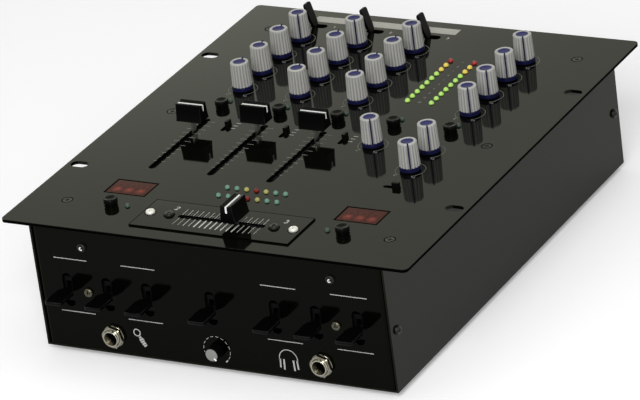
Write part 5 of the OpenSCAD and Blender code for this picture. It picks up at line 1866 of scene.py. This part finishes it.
@dataclass
class RearSockets:
    """The phono sockets in two rows, the supply inlet and the earth post.

    A phono socket is told by how far it stands out of the panel, `length` to within `alike`.
    """

    bench: Bench
    ring_r: float = 4.15
    wall: float = 0.7
    length: float = 9.0
    cup: float = 2.0
    bore_r: float = 1.7
    depth: float = 14.0
    body_out: float = 8.0
    flange_r: float = 5.4
    washer_r: float = 4.5
    alike: float = 0.3
    row_reach: float = 1.0

    def build(self) -> None:
        """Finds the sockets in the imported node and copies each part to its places."""
        face_y = extent("rear_panel").high.y
        rings = [s for s in solids("rear_sockets") if abs(s.high.y - face_y - self.length) < self.alike]
        seats = [self._seat(s.middle, face_y) for s in rings]
        upper = max(s.middle.z for s in rings) - self.row_reach
        rows = {"phono_whites": [p for p in seats if p.translation.z > upper],
                "phono_reds": [p for p in seats if p.translation.z <= upper]}
        self.bench.copies("phono_rings", self._ring(), seats, Colours.NICKEL, CASE, "rear_sockets")
        for (name, places), colour in zip(rows.items(), (Colours.PHONO_WHITE, Colours.PHONO_RED)):
            self.bench.copies(name, self._insulator(), places, colour, CASE, "rear_sockets")
        box = extent("rear_sockets")
        low, high = min(s.middle.z for s in rings), max(s.middle.z for s in rings)
        self._inlet(self._seat(Vector((extent("power_rocker").middle.x, 0, low)), face_y))
        self._earth(self._seat(Vector((box.low.x + self.washer_r, 0, (low + high) / 2)), face_y))

    @staticmethod
    def _seat(middle: Vector, face_y: float) -> Matrix:
        """The frame of a socket on the rear panel, with Z pointing backwards."""
        return seat((middle.x, face_y, middle.z), Vector((-1, 0, 0)), BACKWARD)

    def _ring(self) -> Shape:
        """The outer contact, with a rolled lip and a flange on the panel."""
        r, w, top = self.ring_r, self.wall, self.length
        end, out = -self.body_out, self.flange_r
        return Shape().lathe([(r - w, end), (r, end), (r, 0.0), (out, 0.0), (out, 0.5), (out - 0.3, 0.7),
                              (r + 0.1, 0.8), (r, 1.0), (r, top - 0.3), (r - 0.15, top), (r - w + 0.15, top),
                              (r - w, top - 0.3)], 32, loop=True)

    def _insulator(self) -> Shape:
        """The coloured insulator with the hole for the pin."""
        r, bore, top = self.ring_r - self.wall, self.bore_r, self.length - self.cup
        shape = Shape().lathe([(bore, -self.depth + 1), (r, -self.depth + 1), (r, top - 0.2), (r - 0.2, top),
                               (bore + 0.3, top), (bore, top - 0.3)], 28, loop=True)
        side = 2 * self.ring_r + 2
        return shape.block(side, side, -self.depth, -self.body_out)

    def _inlet(self, place: Matrix) -> None:
        """The supply inlet: a bush with a flange around its centre pin."""
        bush = Shape(place).lathe([(2.8, -9.0), (5.5, -9.0), (5.5, -0.3), (5.5, 0.0), (7.0, 0.0), (7.0, 0.7),
                                   (6.7, 1.0), (3.3, 1.0), (2.8, 0.5)], 36, loop=True)
        bush.lathe([(0.0, -14.0), (5.5, -14.0), (5.5, -9.2), (0.0, -9.2)], 36)
        self.bench.mould(bush, "inlet_bush", Colours.SWITCH_BLACK, CASE, "rear_sockets")
        pin = Shape(place).lathe([(0.0, -9.3), (1.0, -9.3), (1.0, -1.4), (0.6, -1.0), (0.0, -0.95)], 20)
        self.bench.mould(pin, "inlet_pin", Colours.NICKEL, CASE, "rear_sockets")

    def _earth(self, place: Matrix) -> None:
        """The earth post: a threaded rod with a washer and a knurled nut."""
        rod = [(0.0, -14.0), (1.9, -14.0)]
        rod += [(1.75 + 0.25 * (i % 2), -13.5 + 0.5 * i) for i in range(46)]
        shape = Shape(place).lathe(rod + [(1.5, 9.8), (0.0, 9.9)], 24)
        r = self.washer_r
        shape.lathe([(2.1, 0.0), (r, 0.0), (r, 1.0), (r - 0.2, 1.2), (2.1, 1.2)], 32, loop=True)
        knurl = 48
        rings = []
        for z, grow in ((3.0, -0.3), (3.3, 0.0), (7.7, 0.0), (8.0, -0.3)):
            radii = [4 + grow - 0.14 * (i % 2) for i in range(knurl)]
            rings.append([(r * math.cos(TAU * i / knurl), r * math.sin(TAU * i / knurl), z)
                          for i, r in enumerate(radii)])
        shape.loft([circle(2.1, knurl, 3.0), *rings, circle(2.1, knurl, 8.0)], loop=True)
        self.bench.mould(shape, "earth_post", Colours.NICKEL, CASE, "rear_sockets")


# ---------------------------------------------------------------- printed marks


def digit_lines(digit: str) -> list[list[tuple[float, float]]]:
    """Returns the strokes of a digit in a box one unit high.

    Args:
        digit: One of 0 to 9.

    Returns:
        Its lines, each a run of points.
    """
    bowl = 0.29
    strokes = {
        "0": [[(0.3 + 0.26 * math.cos(TAU * i / 14), 0.5 + 0.46 * math.sin(TAU * i / 14))
               for i in range(15)]],
        "1": [[(0.12, 0.78), (0.34, 0.96), (0.34, 0.04)]],
        "2": [arc((0.3, 0.68), 0.26, 165, -35, 6) + [(0.05, 0.05), (0.57, 0.05)]],
        "3": [arc((0.27, 0.74), 0.22, 150, -80, 6) + arc((0.27, bowl), 0.26, 80, -150, 6)],
        "4": [[(0.44, 0.04), (0.44, 0.95), (0.05, 0.3), (0.6, 0.3)]],
        "5": [[(0.52, 0.95), (0.12, 0.95), (0.08, 0.52)] + arc((0.28, 0.32), 0.28, 130, -140, 7)],
        "6": [arc((0.31, bowl), 0.25, 150, -210, 10) + [(0.12, 0.62), (0.42, 0.96)]],
        "7": [[(0.05, 0.95), (0.56, 0.95), (0.22, 0.04)]],
        "8": [arc((0.3, 0.72), 0.22, -90, 270, 10), arc((0.3, 0.27), 0.25, 90, 450, 10)],
        "9": [arc((0.29, 0.71), 0.25, -30, 330, 10) + [(0.5, 0.6), (0.2, 0.04)]],
    }
    return strokes[digit]


class Printer:
    """Collects flat white marks on one face."""

    def __init__(self, place: Matrix, thin: float = 0.3) -> None:
        """Starts on a face, with the usual width of a line."""
        self.shape = Shape(place)
        self.thin = thin

    def line(self, points: Sequence[tuple[float, float]], width: float | None = None) -> None:
        """Prints a line through points."""
        self.shape.stroke(points, width or self.thin)

    def number(self, text: str, at: Sequence[float], height: float) -> None:
        """Prints a plain number, centred on a point.

        Args:
            text: The digits.
            at: The middle of the number.
            height: The height of a digit.
        """
        advance = 0.78 * height
        start = at[0] - advance * len(text) / 2 + 0.08 * height
        for k, digit in enumerate(text):
            for stroke in digit_lines(digit):
                self.line([(start + k * advance + x * height, at[1] + (y - 0.5) * height) for x, y in stroke],
                          0.15 * height)


@dataclass
class PlateMarks:
    """The prints of the plate: pale header, scales, numbers and frames."""

    bench: Bench
    corner_r: float = 3.0
    edge_w: float = 0.2
    edge_proud: float = 0.04
    edge_span: tuple[float, float] = (1.85, 0.3)
    header: tuple[float, float, float, float] = (-84.0, 15.0, 134.8, 142.3)
    header_slant: float = 4.0
    tick_w: float = 0.26
    tick_h: float = 0.08
    fader_steps: int = 11
    fader_low_y: float = -61.7
    fader_pitch: float = 5.35
    fader_ticks: tuple[float, float] = (2.2, 5.0)
    slot_edge: float = 1.7
    dial_ends: tuple[float, float] = (8.1, 9.2)
    number_out: float = 1.7
    number_h: float = 1.7
    meter_numbers: tuple[int, ...] = (20, 10, 7, 5, 3, 1, 0, 1, 2, 4)
    meter_number_h: float = 1.5
    meter_area: tuple[float, float, float] = (20.0, 60.0, 40.0)
    deck_number_at: tuple[float, float] = (7.5, 0.5)
    deck_number_h: float = 2.2
    slide_marks: tuple[float, float] = (3.6, 6.4)
    slide_pitch: float = 3.4
    slide_w: float = 0.4
    side_numbers: tuple[tuple[str, float], ...] = (("2", -32.4), ("3", 36.4))
    side_number_y: float = 8.5
    side_number_h: float = 3.8
    cross_pitch: float = 3.4
    seam_w: float = 0.45
    fader_slot: float = 65.2
    fader_y: float = -38.0
    fader_band: float = 1.1
    cross_slot: float = 52.6
    cross_band: float = 1.0
    slot_w: float = 2.3
    lift: float = 0.03

    def build(self) -> None:
        """Prints everything on the plate and on the crossfader's plate."""
        self.z = plate_face()
        place = seat((0, 0, self.z), RIGHT, UP)
        self._header(place)
        self._fader_scales()
        white, faint = Printer(place), Printer(place, 0.25)
        self._dial_numbers(faint)
        self._meter(faint)
        self._deck_numbers(white)
        self.bench.mould(white.shape, "plate_prints", Colours.PRINT_WHITE, CASE)
        self.bench.mould(faint.shape, "faint_prints", Colours.PRINT_FAINT, CASE)
        self._crossfader()
        self._slot_bands()
        self._plate_edge()

    def _header(self, place: Matrix) -> None:
        """The pale strip along the rear edge, with a slanted left end."""
        x0, x1, y0, y1 = self.header
        outline = [(x0, y0), (x1, y0), (x1, y1), (x0 + self.header_slant, y1)]
        self.bench.mould(Shape(place).prism(outline, -0.02, 0.05), "header_strip", Colours.HEADER_PALE, CASE)

    def _fader_scales(self) -> None:
        """The ticks on both sides of the three channel faders, longer towards the rear."""
        short, long = self.fader_ticks
        rise = (self.fader_steps - 1) * self.fader_pitch
        middles = [extent(f"channel_fader_{i}").middle.x for i in CHANNELS]
        grow = (long / short - 1) / (self.fader_steps - 1)
        starts = [(x + self.slot_edge, self.fader_low_y, self.z + self.lift) for x in middles]
        self.bench.ticks("fader_scales_right", starts, self.fader_steps, self.fader_pitch,
                         (short, self.tick_w, self.tick_h), Colours.PRINT_FAINT, grow)
        shrink = (short / long - 1) / (self.fader_steps - 1)
        starts = [(x - self.slot_edge, self.fader_low_y + rise, self.z + self.lift) for x in middles]
        self.bench.ticks("fader_scales_left", starts, self.fader_steps, self.fader_pitch,
                         (long, self.tick_w, self.tick_h), Colours.PRINT_FAINT, shrink, 180)

    def _dial_numbers(self, marks: Printer) -> None:
        """The numbers 0 and 10 at the ends of each knob's arc."""
        reach = Knobs.dial_r + self.number_out
        for name in Knobs.names():
            m = extent(name).middle
            for text, angle in (("0", 236), ("10", 304)):
                a = math.radians(angle)
                marks.number(text, (m.x + reach * math.cos(a), m.y + reach * math.sin(a)), self.number_h)
            for angle in (240, 300):
                a = math.radians(angle)
                marks.line([(m.x + r * math.cos(a), m.y + r * math.sin(a)) for r in self.dial_ends])

    def _meter(self, marks: Printer) -> None:
        """The small numbers between the meter's columns, one to each row."""
        left, right, low = self.meter_area
        lamps = [s.middle for s in solids("lamps") if s.middle.y > low and left < s.middle.x < right]
        middle = sum(m.x for m in lamps) / len(lamps)
        for number, y in zip(self.meter_numbers, sorted({round(m.y, 1) for m in lamps})):
            marks.number(str(number), (middle, y), self.meter_number_h)

    def _deck_numbers(self, marks: Printer) -> None:
        """The channel numbers by the input levers and the marks by the slide switches."""
        for i in CHANNELS:
            box = extent(f"input_lever_{i}")
            at = (box.high.x + self.deck_number_at[0], box.middle.y + self.deck_number_at[1])
            marks.number(str(i), at, self.deck_number_h)
            slide = extent(f"assign_switch_{i}").middle
            for k in (-1, 0, 1):
                y = slide.y + k * self.slide_pitch
                marks.line([(slide.x + x, y) for x in self.slide_marks], self.slide_w)

    def _slot_rim(self, length: float, band: float) -> list[tuple[float, float]]:
        """Returns the middle line of a band around a slot that runs along Y."""
        reach, r = (length - self.slot_w) / 2, (self.slot_w + band) / 2
        return arc((0, reach), r, 0, 180, 8) + arc((0, -reach), r, 180, 360, 8)

    def _slot_bands(self) -> None:
        """The dark bands around the slots of the channel faders."""
        bands = Shape()
        for i in CHANNELS:
            x = extent(f"channel_fader_{i}").middle.x
            line = [(x + a, self.fader_y + b) for a, b in self._slot_rim(self.fader_slot, self.fader_band)]
            bands.stroke(line, self.fader_band, self.z - 0.02, self.z + 0.02, loop=True)
        self.bench.mould(bands, "slot_bands", Colours.SEAM_BLACK, CASE)

    def _plate_edge(self) -> None:
        """The dark cut edge of the top plate."""
        plate, w = extent("top_panel"), self.edge_w
        x, y = plate.size.x / 2 - self.corner_r, plate.size.y / 2 - self.corner_r
        r = self.corner_r + self.edge_proud - w / 2
        line = []
        for k, (a, b) in enumerate(((x, y), (-x, y), (-x, -y), (x, -y))):
            line += arc((plate.middle.x + a, plate.middle.y + b), r, 90 * k, 90 * k + 90, 6)
        low, high = self.edge_span
        strip = Shape().stroke(line, w, self.z - low, self.z - high, loop=True)
        self.bench.mould(strip, "plate_edge", Colours.SEAM_BLACK, CASE)

    def _crossfader(self) -> None:
        """The dark rims of the crossfader's plate and slot, its ticks and the numbers of its two sides."""
        plate = extent("crossfader_plate")
        rim = Shape().stroke(rim_of(plate, self.seam_w / 2 - 0.02), self.seam_w, plate.high.z - 0.4,
                             plate.high.z + 0.02, loop=True)
        slot = self._slot_rim(self.cross_slot, self.cross_band)
        rim.stroke([(plate.middle.x + y, plate.middle.y + x) for x, y in slot], self.cross_band,
                   plate.high.z - 0.02, plate.high.z + 0.02, loop=True)
        self.bench.mould(rim, "crossfader_seam", Colours.SEAM_BLACK, CASE)
        pitch = self.cross_pitch
        faint, mid = Colours.PRINT_FAINT, Colours.PRINT_MID
        for level, (name, count, way, length, width, colour) in enumerate((
            ("cross_low_fine", 16, -1, 8.2, 0.3, mid), ("cross_low_bold", 12, -1, 8.4, 0.5, mid),
            ("cross_low_heavy", 8, -1, 8.6, 0.85, Colours.PRINT_WHITE),
            ("cross_high_fine", 31, 1, 3.4, 0.2, faint), ("cross_high_bold", 16, 1, 6.6, 0.42, mid),
        )):
            z = plate.high.z + self.lift * (1 + level)
            step = pitch / 2 if count > 16 else pitch
            start = (plate.middle.x + way * (count - 1) / 2 * step, plate.middle.y + way * self.slot_edge, z)
            self.bench.ticks(name, [start], count, step, (length, width, self.tick_h), colour, 0, 90 * way)
        marks = Printer(seat((plate.middle.x, plate.middle.y, plate.high.z), RIGHT, UP))
        for text, x in self.side_numbers:
            marks.number(text, (x, self.side_number_y), self.side_number_h)
        self.bench.mould(marks.shape, "crossfader_prints", Colours.PRINT_WHITE, CASE)


@dataclass
class FrontMarks:
    """The prints of the front: grouping lines, a microphone, headphones and the arc of the curve knob."""

    bench: Bench
    line_w: float = 0.45
    lines: tuple[tuple[float, float, float], ...] = (
        (-97.9, -76.4, 21.7), (-54.5, -32.8, 21.8), (-97.8, -75.9, 54.6), (-54.5, -32.6, 54.8),
        (33.5, 55.2, 22.3), (76.5, 98.8, 22.5), (33.5, 55.4, 55.4), (76.6, 98.8, 55.8),
    )
    mic_at: tuple[float, float] = (-50.5, -62.7)
    mic_along: tuple[float, float] = (0.49, -0.87)
    phones_at: tuple[float, float] = (44.9, -66.2)
    arc_r: float = 8.3
    arc_dashes: int = 12

    def build(self) -> None:
        """Prints everything on the front panel."""
        self.top = plate_face()
        marks = Printer(seat((0, front_face(), 0), RIGHT, FORWARD), self.line_w)
        for start, end, drop in self.lines:
            marks.line([(start, self.top - drop), (end, self.top - drop)])
        self._curve_arc(marks)
        self._microphone(marks)
        self._headphones(marks)
        self.bench.mould(marks.shape, "front_prints", Colours.FRONT_PRINT, CASE)

    def _curve_arc(self, marks: Printer) -> None:
        """The dashed arc around the curve knob, with a bold mark at its end."""
        middle = extent("curve_knob").middle
        sweep = 270 / self.arc_dashes
        for i in range(self.arc_dashes):
            start = 225 - i * sweep
            marks.line(arc((middle.x, middle.z), self.arc_r, start, start - sweep * 0.6, 3), 0.3)
        marks.line(arc((middle.x, middle.z), self.arc_r, -42, -56, 3), 0.7)

    def _microphone(self, marks: Printer) -> None:
        """A hand-held microphone: a ringed head at the upper left of a notched handle."""
        x, z = self.mic_at[0], self.top + self.mic_at[1]
        marks.line(arc((x, z), 2.05, 0, 360, 18), 0.65)
        along = self.mic_along
        for i, width in enumerate((1.6, 2.8, 2.8, 2.6, 2.2)):
            a, b = 2.75 + i * 1.38, 3.85 + i * 1.38
            marks.line([(x + along[0] * r, z + along[1] * r) for r in (a, b)], width)

    def _headphones(self, marks: Printer) -> None:
        """Headphones: a thin headband over two slanted ear pads, each of two bars."""
        x, z = self.phones_at[0], self.top + self.phones_at[1]
        marks.line([(x + 5.6, z - 1.4), *arc((x, z), 5.6, 0, 180, 18), (x - 5.6, z - 1.4)], 0.5)
        for side in (-1, 1):
            for near, far, low, width in ((5.2, 5.5, -5.9, 0.9), (2.9, 3.2, -6.9, 1.0)):
                marks.line([(x + side * near, z - 0.5), (x + side * far, z + low)], width)


def main() -> None:
    """Builds the studio and every sub-assembly in order."""
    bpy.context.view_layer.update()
    Studio().build()
    bench = Bench()
    for part in (Case, Inside, Screws, Knobs, CurveKnob, Faders, Levers, Buttons, Switches, Lamps, Displays,
                 JackSockets, RearSockets, PlateMarks, FrontMarks):
        LOG.info("building %s", part.__name__)
        part(bench).build()


if __name__ == "__main__":
    logging.basicConfig(level=logging.INFO, format="%(name)s: %(message)s")
    main()
